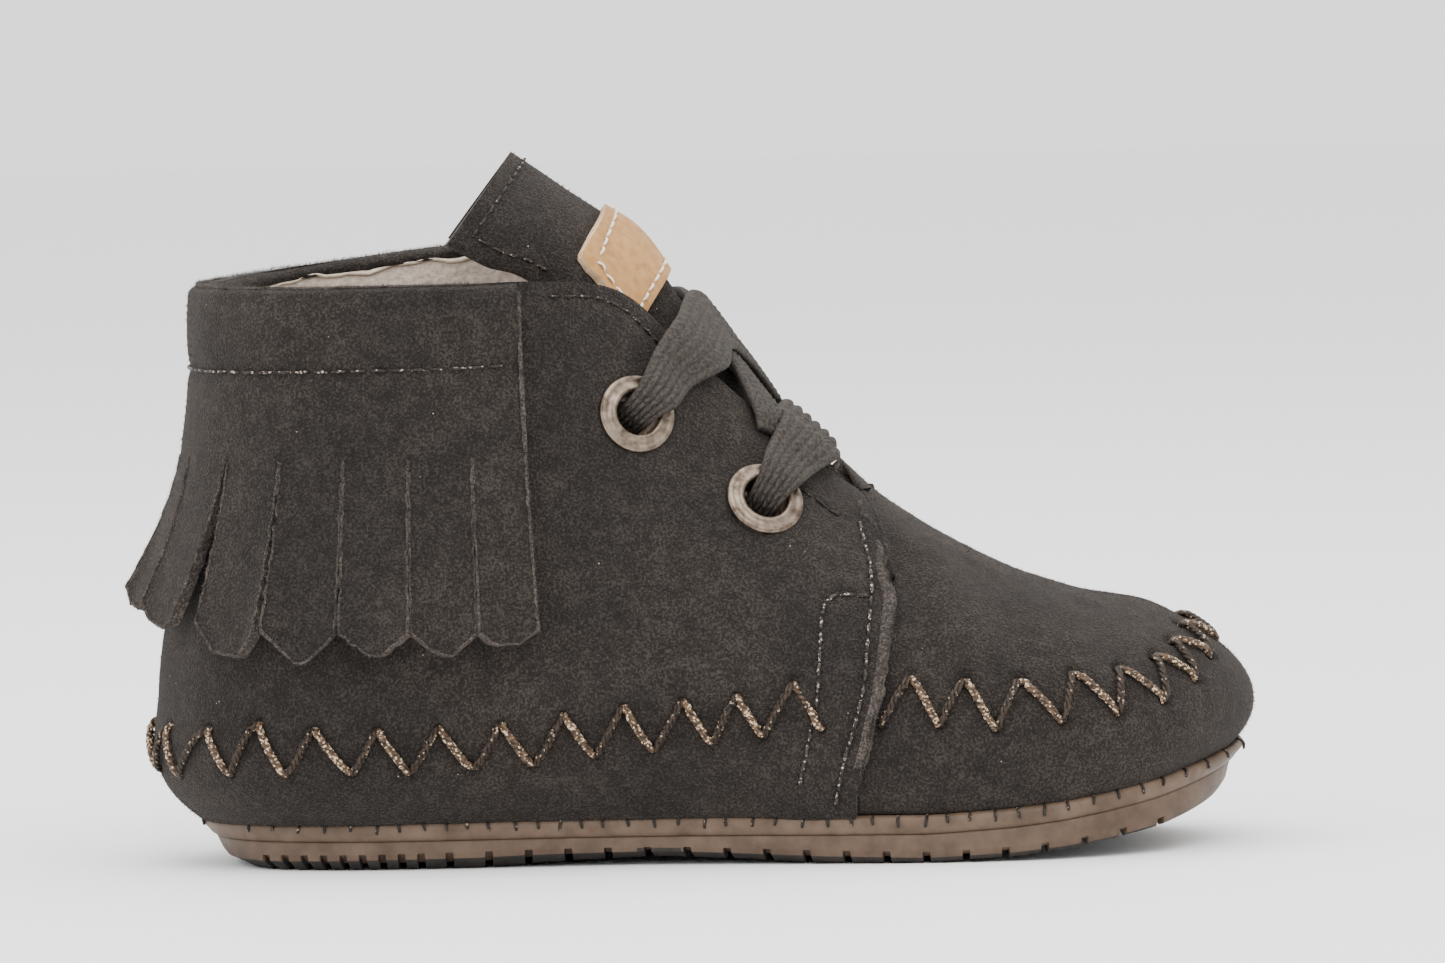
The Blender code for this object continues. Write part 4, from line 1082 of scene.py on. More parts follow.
def fillHeel():
    # the heel is fuller low down
    points, normals = readMesh(quarterMesh)
    low = numpy.clip(1 - ((points[:, 2] - 0.0125) / 0.009) ** 2, 0, 1) ** 2
    back = numpy.clip(2 - (points[:, 0] - origin.x) / 0.012, 0, 1)
    writeMesh(quarterMesh, points + normals * (0.0011 * low * back)[:, None])


def addCreases():
    for mesh in (vampMesh, quarterMesh):
        roughen(mesh, upper["waves"], upper["waveScale"])
        for pixels, reach, depth in creases:
            for side in (outer, inner):
                press(mesh, castLine(shellTrees, side, pixels, 0.001), reach / 1000, depth / 1000)
    for places in seamPlaces.values():
        press(quarterMesh, places, 0.0011, 0.00022)
    for run in zigzagRuns:
        for mesh in (vampMesh, quarterMesh):
            press(mesh, run, 0.0014, 0.00070)


fillHeel()
addCreases()


def eyeletSeat(side, xShare, zShare):
    def shareAt(at):
        return shareAtHeight(rib(side, quarterRibs, at)[0], zShare * last["collar"])

    def isBehind(at):
        here = onRib(rib(side, quarterRibs, at)[0], shareAt(at))
        return here.x - origin.x < xShare * last["length"]

    at = halve(4.7, len(quarterRibs) - 1.0, 36, isBehind)
    share = shareAt(at)
    here, normal = outside(side, quarterRibs, at, share)
    return at, share, here + normal * last["flap"], normal


eyelets = {
    "places": (("low", 0.549, 0.611), ("high", 0.436, 0.766)),  # shares of the length and of the collar
    "radius": 0.0049,
    "hole": 0.0027,
    "tube": 0.0005,
    "flange": 0.0009,
    "sink": 0.0002,
    "steps": 64,
}
seats = {
    (side, name): eyeletSeat(side, xShare, zShare)
    for side in (outer, inner) for name, xShare, zShare in eyelets["places"]
}


def punch(mesh):
    # open the sheet under each eyelet; the ring covers the cut
    maker = bmesh.new()
    maker.from_mesh(mesh)
    reach = eyelets["hole"] + 0.0011
    gone = [
        face for face in maker.faces
        if any((face.calc_center_median() - seat[2]).length < reach for seat in seats.values())
    ]
    bmesh.ops.delete(maker, geom=gone, context="FACES")
    maker.to_mesh(mesh)
    maker.free()
    mesh.update()


def shellPiece(name, mesh, thickness, *nodes, rounding=0.28):
    # suede of some thickness, its cut edges lighter and rounded by a share of it
    piece = addPiece(name, mesh, finish["napSuede"], "suede", *nodes)
    thicken(piece, thickness, thickness * rounding, finish["cutSuede"])
    return piece


punch(quarterMesh)
quarterTree = treeOf(quarterMesh)
vampTree = treeOf(vampMesh)
shellTrees = [quarterTree, vampTree]
quarters = shellPiece("quarters", quarterMesh, upper["quarterThickness"], "upper")
vamp = shellPiece("vamp", vampMesh, upper["vampThickness"], "upper", rounding=0)


def liningTop(side, at, points):
    wave = 0.0003 * math.sin(at * 5.0 + side) + 0.0002 * math.sin(at * 13.0)
    return shareAtHeight(points, points[3].z - upper["liningDrop"] - wave)


def addLining():
    front = len(quarterRibs) - 1.9  # ends short of the throat's front
    grid = ribColumns(outer, quarterRibs, front, 0, liningTop)
    grid += ribColumns(inner, quarterRibs, 0, front, liningTop)[1:]
    grid = [line[::2] for line in grid[::2]]
    skin = offsetGrid(grid, gridNormals(grid, -1), lambda i, j, point: -upper["liningIn"])
    mesh = gridMesh("lining", skin)
    faceOut(mesh)
    punch(mesh)
    piece = addPiece("lining", mesh, finish["liningCloth"], "insole_lining", "upper")
    thicken(piece, upper["liningThickness"], 0.0002)
    parts = newParts()
    rim = [line[-1] for line in skin]
    inward = [(Vector((0, origin.y, 0)) - Vector((0, point.y, 0))).normalized() for point in rim]
    centres = [
        point + aside * (upper["liningThickness"] + 0.0001) + Vector((0, 0, 0.0001))
        for point, aside in zip(rim, inward)
    ]
    addTube(parts, centres, [0.00035] * len(centres), 8)
    partsPiece("liningEdge", parts, [finish["creamEdge"]], "insole_lining")


addLining()
print("upper made")

# Cuff: suede folded over the collar's rim, slit into strips
cuff = {
    "thickness": 0.0013,
    "frontRib": 5.7,
    "measure": 0.0440,
    "lift": 0.0013,  # outer face over the quarter
    "slitDrop": 0.0208,
    "fringeDrop": 0.0424,
    "heelShort": 0.0038,  # the heel's strips hang less far
    "slit": 0.0002,
    "flareSide": 0.0019,
    "flareHeel": 0.0011,
    "flareSpread": 0.019,
    "inside": 0.0016,  # how far the fold reaches down inside
    "stitchDrop": 0.0103,
    "rimRows": 7,  # rows of the mesh over the rim, down to the slits, and down a strip
    "bandRows": 20,
    "down": 34,
    "across": 12,
    "fray": 0.00028,
}
# Slits from the front of the cuff: pixel at the slit's top, and at the tips before and behind it
slitPixels = ((472, 479, 478), (408, 411, 410), (343, 340, 338), (280, 271, 266), (227, 206, 190))
# Tips of the strips from the front: where the point stands across the strip, its length, its bluntness
stripTips = ((0.62, 1.5, 0.45), (0.50, 2.6, 0.20), (0.50, 2.5, 0.22), (0.52, 3.6, 0.12), (0.42, 3.2, 0.45))
heelTip = (0.5, 1.6, 0.55)


def cuffRun(side):
    # lengths round the quarters from the heel's centre, with the rows they reach
    run, rowsAt, total, before = [0.0], [0.0], 0.0, None
    for index in range(301):
        at = cuff["frontRib"] * index / 300
        points = rib(side, quarterRibs, at)[0]
        here = onRib(points, shareAtHeight(points, cuff["measure"]))
        if before:
            total += (here - before).length
            run.append(total)
            rowsAt.append(at)
        before = here
    return run, rowsAt


cuffRuns = {side: cuffRun(side) for side in (outer, inner)}


def rowAlong(side, distance):
    return float(numpy.interp(distance, *cuffRuns[side]))


def cuffPlace(distance, drop, lift):
    # place over the quarters: metres round from the heel's centre, down from the rim, and out
    side = inner if distance > 0 else outer
    at = max(rowAlong(side, abs(distance)), 0.03)
    points = rib(side, quarterRibs, at)[0]
    here, normal = outside(side, quarterRibs, at, shareAtHeight(points, points[3].z - drop))
    return here + normal * (last["flap"] + lift)


def distanceAt(across, drop):
    def isAhead(distance):
        return pixelOf(cuffPlace(distance, drop, cuff["lift"]))[0] > across

    return halve(-cuffRuns[outer][0][-1], 0.0, 30, isAhead)


def cuffEdges():
    # borders of the strips from the outer front round the heel to the inner front: top and tip distances
    reach = {side: cuffRuns[side][0][-1] for side in (outer, inner)}
    near = [(-reach[outer], -reach[outer], -reach[outer])]
    drop = cuff["fringeDrop"]
    for top, front, back in slitPixels:
        near.append((distanceAt(top, cuff["slitDrop"]), distanceAt(front, drop), distanceAt(back, drop)))
    lastTop, lastTip = near[-1][0], near[-1][2]
    count = max(1, round(2 * abs(lastTop) / 0.0105))
    heel = [
        (lastTop * way, lastTip * way - 0.0004, lastTip * way + 0.0004)
        for way in [1 - 2 * index / count for index in range(1, count)]
    ]
    scale = reach[inner] / reach[outer]
    far = [(-top * scale, -back * scale, -front * scale) for top, front, back in near[::-1]]
    farTips = [(1 - peak, long, blunt) for peak, long, blunt in stripTips[::-1]]
    return near + heel + far, [*stripTips] + [heelTip] * count + farTips


def stripColumn(leftEdge, rightEdge, tip, share, index):
    # one column of a strip, from inside the rim over it and down to the tip
    top = leftEdge[0] + (rightEdge[0] - leftEdge[0]) * share
    low = leftEdge[2] + (rightEdge[1] - leftEdge[2]) * share
    heel = math.exp(-(top / cuff["flareSpread"]) ** 2)
    flare = cuff["flareSide"] + cuff["flareHeel"] * heel
    peak, long, blunt = tip
    beside = (share - peak) / (1 - peak) if share > peak else (peak - share) / peak
    pointed = 1 - max(0.0, (beside - blunt) / (1 - blunt))
    gap = cuff["slit"] / 2 * (1 - 2 * share) * (1 + 3.0 * heel)
    turn = 0.0009 * math.sin(index * 2.4 + 0.7)  # each strip lies a little twisted
    curl = 0.0005 * (2 * share - 1) ** 2
    wall = last["wall"] + last["flap"]
    column = [cuffPlace(top, cuff["inside"], -wall - 0.0004), cuffPlace(top, 0.0010, -wall - 0.0005)]
    rim = cuffPlace(top, 0.0, 0.0)
    outward = (cuffPlace(top, 0.0, 0.001) - rim) * 1000
    bend = (wall + cuff["lift"] + 0.0004) / 2
    middle = rim + outward * (cuff["lift"] - bend)
    for step in range(1, cuff["rimRows"] + 1):
        angle = math.pi * step / (cuff["rimRows"] + 1)
        dip = Vector((0, 0, -0.0008 * abs(math.cos(angle)) ** 3))
        column.append(middle - outward * bend * math.cos(angle) + dip)
    for level in range(1, cuff["bandRows"] + 1):
        drop = 0.0010 + (cuff["slitDrop"] - 0.0010) * level / cuff["bandRows"]
        pressed = 0.0004 * math.exp(-((drop - cuff["stitchDrop"]) / 0.0011) ** 2)
        fuller = 0.0002 * math.sin(math.pi * min(1.0, drop / cuff["stitchDrop"])) ** 2
        column.append(cuffPlace(top, drop, cuff["lift"] - pressed + fuller))
    for level in range(1, cuff["down"] + 1):
        part = level / cuff["down"]
        end = cuff["fringeDrop"] - cuff["heelShort"] * heel + long / 1000 * pointed
        drop = cuff["slitDrop"] + (end - cuff["slitDrop"]) * part
        edged = abs(2 * share - 1) ** 8
        fray = noise.noise(Vector((index * 7.0 + round(share) * 3.1, drop * 900, 0))) * cuff["fray"] * edged
        if part > 0.9:
            drop += noise.noise(Vector((top * 1500, index, 2.0))) * cuff["fray"] * (part - 0.9) * 12
        sideways = top + (low - top) * part + gap * min(1.0, part * 5 + 0.2) + fray
        lift = cuff["lift"] + flare * part ** 1.7 + (turn * (2 * share - 1) + curl) * part ** 1.5
        column.append(cuffPlace(sideways, drop, max(lift, cuff["lift"] - 0.0001)))
    return column


def addCuff():
    edges, tips = cuffEdges()
    maker = bmesh.new()
    seamStart = 2 + cuff["rimRows"] + cuff["bandRows"]  # rows above the slits are joined
    previous = None
    borders = []
    for index, (leftEdge, rightEdge) in enumerate(zip(edges, edges[1:])):
        columns = []
        for step in range(cuff["across"] + 1):
            points = stripColumn(leftEdge, rightEdge, tips[index], step / cuff["across"], index)
            columns.append([maker.verts.new(point) for point in points])
        for left, right in zip(columns, columns[1:]):
            for level in range(len(left) - 1):
                maker.faces.new((left[level], right[level], right[level + 1], left[level + 1]))
        if previous:
            for level in range(seamStart):
                join = [previous[level], columns[0][level]]
                if (join[0].co - join[1].co).length < 0.0004:
                    bmesh.ops.pointmerge(maker, verts=join, merge_co=(join[0].co + join[1].co) / 2)
                    columns[0][level] = previous[level] if previous[level].is_valid else columns[0][level]
        for column in (columns[0], columns[-1]):
            borders.append([vert.co.copy() for vert in column[seamStart:] if vert.is_valid])
        borders.append([column[-1].co.copy() for column in columns])
        previous = columns[-1]
    mesh = bpy.data.meshes.new("fringedCuff")
    maker.to_mesh(mesh)
    maker.free()
    faceOut(mesh)
    roughen(mesh, 0.00016, 110.0)
    roughen(mesh, 0.00005, 900.0)
    tree = treeOf(mesh)
    return shellPiece("fringedCuff", mesh, cuff["thickness"], "fringed_cuff"), tree, borders


fringedCuff, cuffTree, cuffBorders = addCuff()
print("cuff made")

# Tongue with its lining and the leather patch
sections = tongueSections()
tongueFiner = 8
tongueGrid = smoothSections(sections, tongueFiner)


def tongueSurface(row, across):
    at = min(row * tongueFiner, len(tongueGrid) - 1.001)
    low = int(at)
    step = min(across * tongue["across"], tongue["across"] - 0.001)
    first = int(step)
    near = tongueGrid[low][first].lerp(tongueGrid[low][first + 1], step - first)
    far = tongueGrid[low + 1][first].lerp(tongueGrid[low + 1][first + 1], step - first)
    return near.lerp(far, at - low)


def tongueOut(row, across):
    ahead = tongueSurface(row + 0.1, across) - tongueSurface(row - 0.1, across)
    aside = tongueSurface(row, min(across + 0.04, 0.999)) - tongueSurface(row, max(across - 0.04, 0.0))
    outward = aside.cross(ahead).normalized()
    return outward if outward.x + outward.z > 0 else -outward


def addTongue():
    mesh = gridMesh("tonguePiece", tongueGrid)
    faceOut(mesh, Vector((1, 0, 1)))
    roughen(mesh, 0.00022, 70.0)
    piece = shellPiece("tonguePiece", mesh, 0.0016, "tongue")
    half = len(tongueGrid) // 2
    back = gridMesh("tongueLining", [line[3:-3] for line in tongueGrid[half:-3]])
    faceOut(back, Vector((1, 0, 1)))
    inflate(back, -0.0017)
    cloth = addPiece("tongueLining", back, finish["liningCloth"], "suede", "tongue")
    thicken(cloth, 0.0005, 0.0001)
    return piece


tonguePiece = addTongue()
tongueTree = treeOf(tonguePiece.data)


def walk(curve, start, end, length):
    # where a curve has run a length from its start
    count, run, before = 300, 0.0, curve(start)
    for index in range(1, count + 1):
        at = start + (end - start) * index / count
        here = curve(at)
        run += (here - before).length
        if run >= length:
            return at
        before = here
    return end


label = {
    "drop": 0.0133,
    "height": 0.0112,
    "width": 0.0290,
    "thickness": 0.0011,
    "lift": 0.0001,
    "corner": 0.0012,
    "stitchIn": 0.0016,
}


def labelPlace(down, along, lift):
    # place on the patch: metres below its top edge, metres from its middle
    end = len(sections) - 1
    row = walk(lambda at: tongueSurface(at, 0.5), end - 0.001, 0.0, label["drop"] + down)
    edge = 1.0 if along > 0 else 0.0
    across = walk(lambda at: tongueSurface(row, at), 0.5, edge, abs(along)) if along else 0.5
    return tongueSurface(row, across) + tongueOut(row, across) * lift


def addLabel():
    height, half = label["height"], label["width"] / 2
    corner = label["corner"]
    grid = []
    for step in range(-26, 27):
        along = step / 26 * half
        edge = max(0.0, abs(along) - (half - corner))
        cut = corner - math.sqrt(max(0.0, corner ** 2 - edge ** 2))
        line = []
        for level in range(15):
            down = cut + (height - 2 * cut) * level / 14
            line.append(labelPlace(down, along, label["lift"] + label["thickness"]))
        grid.append(line)
    mesh = gridMesh("labelPatch", grid)
    faceOut(mesh, Vector((1, 0, 1)))
    piece = addPiece("labelPatch", mesh, finish["labelLeather"], "label_leather", "tongue_label")
    thicken(piece, label["thickness"], 0.0003, finish["labelEdge"], 3)


addLabel()
print("tongue made")

# Eyelets

def addEyelet(side, name, seat, normal):
    hole, radius, tube = eyelets["hole"], eyelets["radius"], eyelets["tube"]
    tail = -(last["wall"] + last["flap"] + 2 * last["gap"])
    top = eyelets["flange"] - eyelets["sink"]
    flat = top * 0.72
    profile = [(hole, tail), (hole, flat * 0.2), (hole + 0.00008, flat * 0.7)]
    for step in range(1, 6):  # rolled lip round the hole
        turn = math.pi * (1 - step / 6)
        profile.append((hole + 0.00045 + 0.00038 * math.cos(turn), flat + 0.00022 * math.sin(turn)))
    profile.append((hole + 0.00095, flat))
    profile.append((radius - 0.00075, flat * 0.98))
    for step in range(1, 7):  # rounded outer lip
        turn = math.pi / 2 * (1 - step / 6)
        profile.append((radius - 0.0006 + 0.0006 * math.cos(turn), flat * (0.35 + 0.75 * math.sin(turn))))
    profile += [(radius, -0.0003), (hole + tube, -0.0003), (hole + tube, tail), (hole, tail)]
    grid = []
    for index in range(eyelets["steps"]):
        turn = 2 * math.pi * index / eyelets["steps"]
        grid.append([Vector((reach * math.cos(turn), reach * math.sin(turn), z)) for reach, z in profile])
    sideName = "outer" if side == outer else "inner"
    mesh = gridMesh("ring" + sideName.title() + name.title(), grid, closed=True)
    mesh.transform(Matrix.Translation(seat) @ normal.to_track_quat("Z", "Y").to_matrix().to_4x4())
    closeMesh(mesh)
    mesh.shade_smooth()
    mesh.set_sharp_from_angle(angle=math.radians(50))
    addPiece(mesh.name, mesh, finish["bronze"], "eyelet_metal", "eyelet_" + sideName + "_" + name)


for (side, name), seat in seats.items():
    addEyelet(side, name, seat[2], seat[3])
print("eyelets made")

# Laces: a flat braid through the eyelets
lace = {
    "width": 0.0092,
    "thickness": 0.0015,
    "clearance": 0.0004,
    "holeWidth": 0.0042,
    "eyeletWidth": 0.0052,
    "crossEndWidth": 0.0056,
    "barEdge": 10.0,
    "barTongue": 2.8,
    "crossHigh": 8.28,
    "crossLow": 9.4,
    "ridgeOver": 703,  # pixel across where the upper strand tops the tongue, and the strand under it
    "ridgeUnder": 728,
    "edge": ((0.50, 0.15, 0.75), (1.00, 0.55, 0.98)),  # way to the throat's edge, raised, width
    "finer": 44,
    "across": 42,
    "ribs": 6,
    "plait": 0.0013,  # length of one plait
}


def laceStrip(name, stops, node):
    # a stop: point, direction across the braid, width, thickness share
    rows = [(*point, *across, wide, thick) for point, across, wide, thick in stops]
    path = []
    for index in range((len(rows) - 1) * lace["finer"] + 1):
        values = blendRows(rows, index / lace["finer"])
        path.append((Vector(values[:3]), Vector(values[3:6]).normalized(), values[6], values[7]))
    grid, run = [], 0.0
    for index, (point, across, wide, thick) in enumerate(path):
        after = path[min(index + 1, len(path) - 1)][0]
        before = path[max(index - 1, 0)][0]
        run += (point - before).length
        up = across.cross(after - before).normalized()
        line = []
        count = lace["across"]
        for step in range(2 * count):
            side = 1 if step < count else -1
            share = ((step % count) / count * 2 - 1) * side
            body = math.sqrt(max(0.0, 1 - abs(share) ** 5))
            wave = lace["ribs"] * (share + 1) / 2
            lane = abs(math.sin(math.pi * wave))
            way = 1 if int(wave) % 2 else -1
            turns = run / lace["plait"] + way * (wave % 1) * 0.8 + int(wave) * 0.5
            plait = abs(math.sin(math.pi * turns))
            relief = 0.50 + 0.24 * lane ** 0.6 + 0.30 * plait * lane
            height = lace["thickness"] / 2 * thick * body * relief * side
            line.append(point + across * share * wide / 2 + up * height)
        grid.append(line + [line[0]])
    mesh = gridMesh(name, grid)
    closeMesh(mesh, True)
    mesh.shade_smooth()
    addPiece(name, mesh, finish["laceBraid"], "lace_braid", node)


def eyeletStops(side, name, edgeRow):
    at, share, seat, outward = seats[(side, name)]
    lift = eyelets["flange"] + lace["clearance"] + lace["thickness"] / 2
    rim = outside(side, quarterRibs, edgeRow, 1.0)[0]
    along = (rim - seat) - outward * (rim - seat).dot(outward)
    along.normalize()
    across = along.cross(outward).normalized()
    stops = [
        (seat - outward * 0.0042 - along * 0.0002, across, lace["holeWidth"], 1.3),
        (seat - outward * 0.0012 + along * 0.0003, across, lace["holeWidth"], 1.4),
        (seat + outward * 0.0010 + along * 0.0014, across, lace["holeWidth"] * 1.05, 1.4),
        (seat + outward * (lift + 0.0002) + along * 0.0036, across, lace["eyeletWidth"] * 1.12, 1.25),
    ]
    for way, raised, widening in lace["edge"]:
        row = at + (edgeRow - at) * way
        point, out = outside(side, quarterRibs, row, share + (1 - share) * way)
        crossing = along.cross(out).normalized()
        height = last["flap"] + lift * 0.75 + raised * lace["thickness"]
        stops.append((point + out * height, crossing, lace["width"] * widening, 1.05))
    return stops


def tongueStop(row, lift, before, after):
    here = tongueSurface(row, 0.5)
    outward = tongueOut(row, 0.5)
    across = (after - before).cross(outward).normalized()
    return here + outward * lift, across, lace["width"], 1.0


def rowAcross(across):
    # row of the tongue whose middle stands at a pixel across the photograph
    return halve(1.0, len(sections) - 1.5, 24, lambda row: pixelOf(tongueSurface(row, 0.5))[0] > across)


def addLaces():
    lift = lace["clearance"] + lace["thickness"] / 2
    near = eyeletStops(outer, "low", lace["barEdge"])
    far = [(stop[0], -stop[1], *stop[2:]) for stop in eyeletStops(inner, "low", lace["barEdge"])]
    middle = tongueStop(lace["barTongue"], lift, near[-1][0], far[-1][0])
    laceStrip("laceBar", near + [middle] + far[::-1], "lace_bar")
    for side, row, extra in (
        (outer, rowAcross(lace["ridgeOver"]), lace["thickness"] * 0.7),
        (inner, rowAcross(lace["ridgeUnder"]), 0.0),
    ):
        start = eyeletStops(side, "high", lace["crossHigh"])
        point, outward = outside(-side, quarterRibs, lace["crossLow"], 1.0)
        ending = point + outward * (last["flap"] + lift)
        middle = tongueStop(row, lift + extra, start[-1][0], ending)
        if side == inner:
            middle = (*middle[:2], lace["width"] * 0.7, 1.1)
        crossing = (ending - start[-1][0]).normalized().cross(outward).normalized()
        tuck = ending + Vector((0.0006, -side * 0.0022, -0.0030))
        end = [
            (ending, crossing, lace["crossEndWidth"], 1.0),
            (tuck, crossing, lace["crossEndWidth"] * 0.9, 1.0),
        ]
        name = "laceOver" if side == outer else "laceUnder"
        laceStrip(name, start + [middle] + end, "lace_crossing")


addLaces()
print("laces made")

# Threads: machine stitches and the zigzag
threads = {
    "stitch": 0.00155,  # length of a machine stitch
    "space": 0.00055,
    "radius": 0.00021,
    "ply": 0.00027,  # radius of one ply of the zigzag
    "twist": 0.0024,  # length of a full turn
    "rise": 0.00032,
    "sink": 0.0006,
    "hole": 0.00055,
    "randPitch": 0.0029,
}


def stitchRow(parts, places, length, space, radius, kind=0, lift=0.35):
    # stitches along places set 0.4 mm apart, each sinking at its ends
    step = 0.0004
    span = max(2, round(length / step))
    gap = max(1, round(space / step))
    index = random.randint(0, gap)
    while index + span < len(places):
        run = places[index:index + span + 1]
        centres, radii = [], []
        for order, (point, normal) in enumerate(run):
            share = order / span
            arch = math.sin(math.pi * share)
            rise = lift + 0.9 * arch - 0.6 * abs(2 * share - 1) ** 4
            centres.append(point + normal * radius * rise)
            radii.append(radius * (0.72 + 0.28 * arch))
        addTube(parts, centres, radii, 6, kind)
        index += span + gap


def holeShadeDisc(parts, point, normal, radius, kind=0):
    # painted shade of a needle hole: a small dark dished disc on the surface
    first = len(parts["corners"])
    aside = normal.orthogonal().normalized()
    above = normal.cross(aside)
    for reach, sunk in ((1.0, 0.00004), (0.6, 0.00005)):
        for step in range(8):
            turn = math.pi * step / 4
            around = aside * math.cos(turn) + above * math.sin(turn)
            parts["corners"].append(point + around * radius * reach + normal * sunk)
    for step in range(8):
        after = (step + 1) % 8
        parts["faces"].append((first + step, first + after, first + 8 + after, first + 8 + step))
        parts["kinds"].append(kind)
    parts["faces"].append(tuple(first + 8 + step for step in range(8)))
    parts["kinds"].append(kind)


def settle(point):
    # nearest place of the quarters or the vamp
    return min((tree.find_nearest(point) for tree in shellTrees), key=lambda hit: hit[3])[:2]


def settleAll(find, places):
    # puts places on a surface; their directions stay on the same side
    settled = []
    for point, normal in places:
        spot, out = find(point)[:2]
        settled.append((spot, out if out.dot(normal) > 0 else -out))
    return settled


def zigzagStitch(parts, start, end, kind):
    # one leg of the zigzag: three twisted plies from hole to hole
    (head, headOut), (tail, tailOut) = start, end
    count = 30
    span = (tail - head).length
    path, ups = [], []
    for step in range(count + 1):
        share = step / count
        out = headOut.lerp(tailOut, share).normalized()
        spot, normal = settle(head.lerp(tail, share))
        if normal.dot(out) < 0:
            normal = -normal
        arch = math.sin(math.pi * share) ** 0.6
        edge = abs(2 * share - 1) ** 10
        height = threads["ply"] * 1.2 + threads["rise"] * arch - threads["sink"] * edge
        path.append(spot + normal * height)
        ups.append(out)
    turnStart = random.uniform(0, 6.3)
    for ply in range(3):
        centres, radii = [], []
        for step, (point, up) in enumerate(zip(path, ups)):
            share = step / count
            ahead = (path[min(step + 1, count)] - path[max(step - 1, 0)]).normalized()
            aside = ahead.cross(up).normalized()
            above = aside.cross(ahead)
            turn = turnStart + 2 * math.pi * (ply / 3 + span * share / threads["twist"])
            reach = threads["ply"] * 1.02 * (0.65 + 0.35 * math.sin(math.pi * share) ** 0.5)
            centres.append(point + aside * math.cos(turn) * reach + above * math.sin(turn) * reach * 0.8)
            radii.append(threads["ply"] * (0.75 + 0.25 * math.sin(math.pi * share) ** 0.5))
        addTube(parts, centres, radii, 7, kind)


def addZigzag():
    legs, holes = newParts(), newParts()
    for first, run in enumerate(zigzagRuns):
        settled = settleAll(settle, run)
        for index, (start, end) in enumerate(zip(settled, settled[1:])):
            if (end[0] - start[0]).length < 0.013:
                # legs alternate between two copies of one thread: painted light on legs leaning one way,
                # painted shade on the others
                zigzagStitch(legs, start, end, (index + first) % 2)
        # a dark disc at each needle hole paints its shade
        for spot, out in settled:
            holeShadeDisc(holes, spot + out * 0.00005, out, threads["hole"])
    return legs, holes


def sewSeams(parts):
    for (name, _), places in seamPlaces.items():
        settled = settleAll(quarterTree.find_nearest, places)
        if name in ("flapEdge", "flapInner"):
            stitchRow(parts, settled, threads["stitch"], threads["space"], threads["radius"] * 1.15, 1)
        else:
            stitchRow(parts, settled, threads["stitch"], threads["space"], threads["radius"] * 0.9, 0)


def sewCuff(parts):
    reach = {side: cuffRuns[side][0][-1] for side in (outer, inner)}
    ring = []
    for step in range(round((reach[outer] + reach[inner] - 0.003) / 0.0004)):
        distance = -reach[outer] + 0.0015 + step * 0.0004
        point = cuffPlace(distance, cuff["stitchDrop"], cuff["lift"])
        ring.append(cuffTree.find_nearest(point)[:2])
    stitchRow(parts, ring, 0.0020, 0.0006, threads["radius"], 2)


def sewTongue(parts):
    # a little in from the tongue's edge
    top, start, margin = len(sections) - 1.35, 7.0, 0.055
    line = [(start + (top - start) * step / 260, margin) for step in range(260)]
    line += [(top, margin + (1 - 2 * margin) * step / 160) for step in range(160)]
    line += [(top - (top - start) * step / 260, 1 - margin) for step in range(260)]
    places = [(tongueSurface(row, across), tongueOut(row, across)) for row, across in line]
    found = settleAll(tongueTree.find_nearest, places)
    stitchRow(parts, evenly(found, 0.0004), threads["stitch"], threads["space"], threads["radius"] * 0.9, 0)


def sewLabel(parts):
    # a little in from the patch's edges
    inset = label["stitchIn"]
    low, high, half = inset, label["height"] - inset, label["width"] / 2 - inset
    lift = label["lift"] + label["thickness"]
    border = [(low + (high - low) * step / 30, -half) for step in range(30)]
    border += [(high, -half + 2 * half * step / 60) for step in range(60)]
    border += [(high - (high - low) * step / 30, half) for step in range(30)]
    border += [(low, half - 2 * half * step / 60) for step in range(61)]
    found = []
    for down, along in border:
        spot = labelPlace(down, along, lift)
        found.append((spot, (labelPlace(down, along, lift + 0.001) - spot).normalized()))
    stitchRow(parts, evenly(found, 0.0004), 0.0016, 0.0006, 0.00020, 3)


def sewTacks(parts):
    # bar tack at the foot of each flap
    for side in (outer, inner):
        for shift in range(0, 12, 3):
            tack = castLine(shellTrees, side, ((800, 803 + shift), (817, 802 + shift)), 0.0004)
            stitchRow(parts, tack, 0.0016, 0.0004, 0.00024, 2)


def sewRand(parts):
    # over the rand's top edge
    for side in (outer, inner):
        row = 0.6
        while row < len(outlineRows) - 1.2:
            height = randTop(outlineAt(row)[0])
            tall = random.uniform(0.0009, 0.0014)
            slant = random.uniform(-0.0003, 0.0003)
            centres, radii = [], []
            for step in range(7):
                share = step / 6
                arch = math.sin(math.pi * share)
                plan = edgePoint(side, row, -0.00005 + 0.0007 * max(0.0, share * 2 - 1) ** 2 * 1.6)
                level = height - tall + (tall + 0.0001) * share
                point = Vector((plan.x + slant * share, plan.y, level)) + origin
                centres.append(point + Vector((0, side, 0)) * 0.00008 * arch)
                radii.append(0.00016 + 0.00006 * arch)
            addTube(parts, centres, radii)
            pace = (outlineAt(row + 0.5)[0] - outlineAt(row - 0.5)[0]) * last["soleLength"]
            row += threads["randPitch"] / pace * random.uniform(0.85, 1.15)


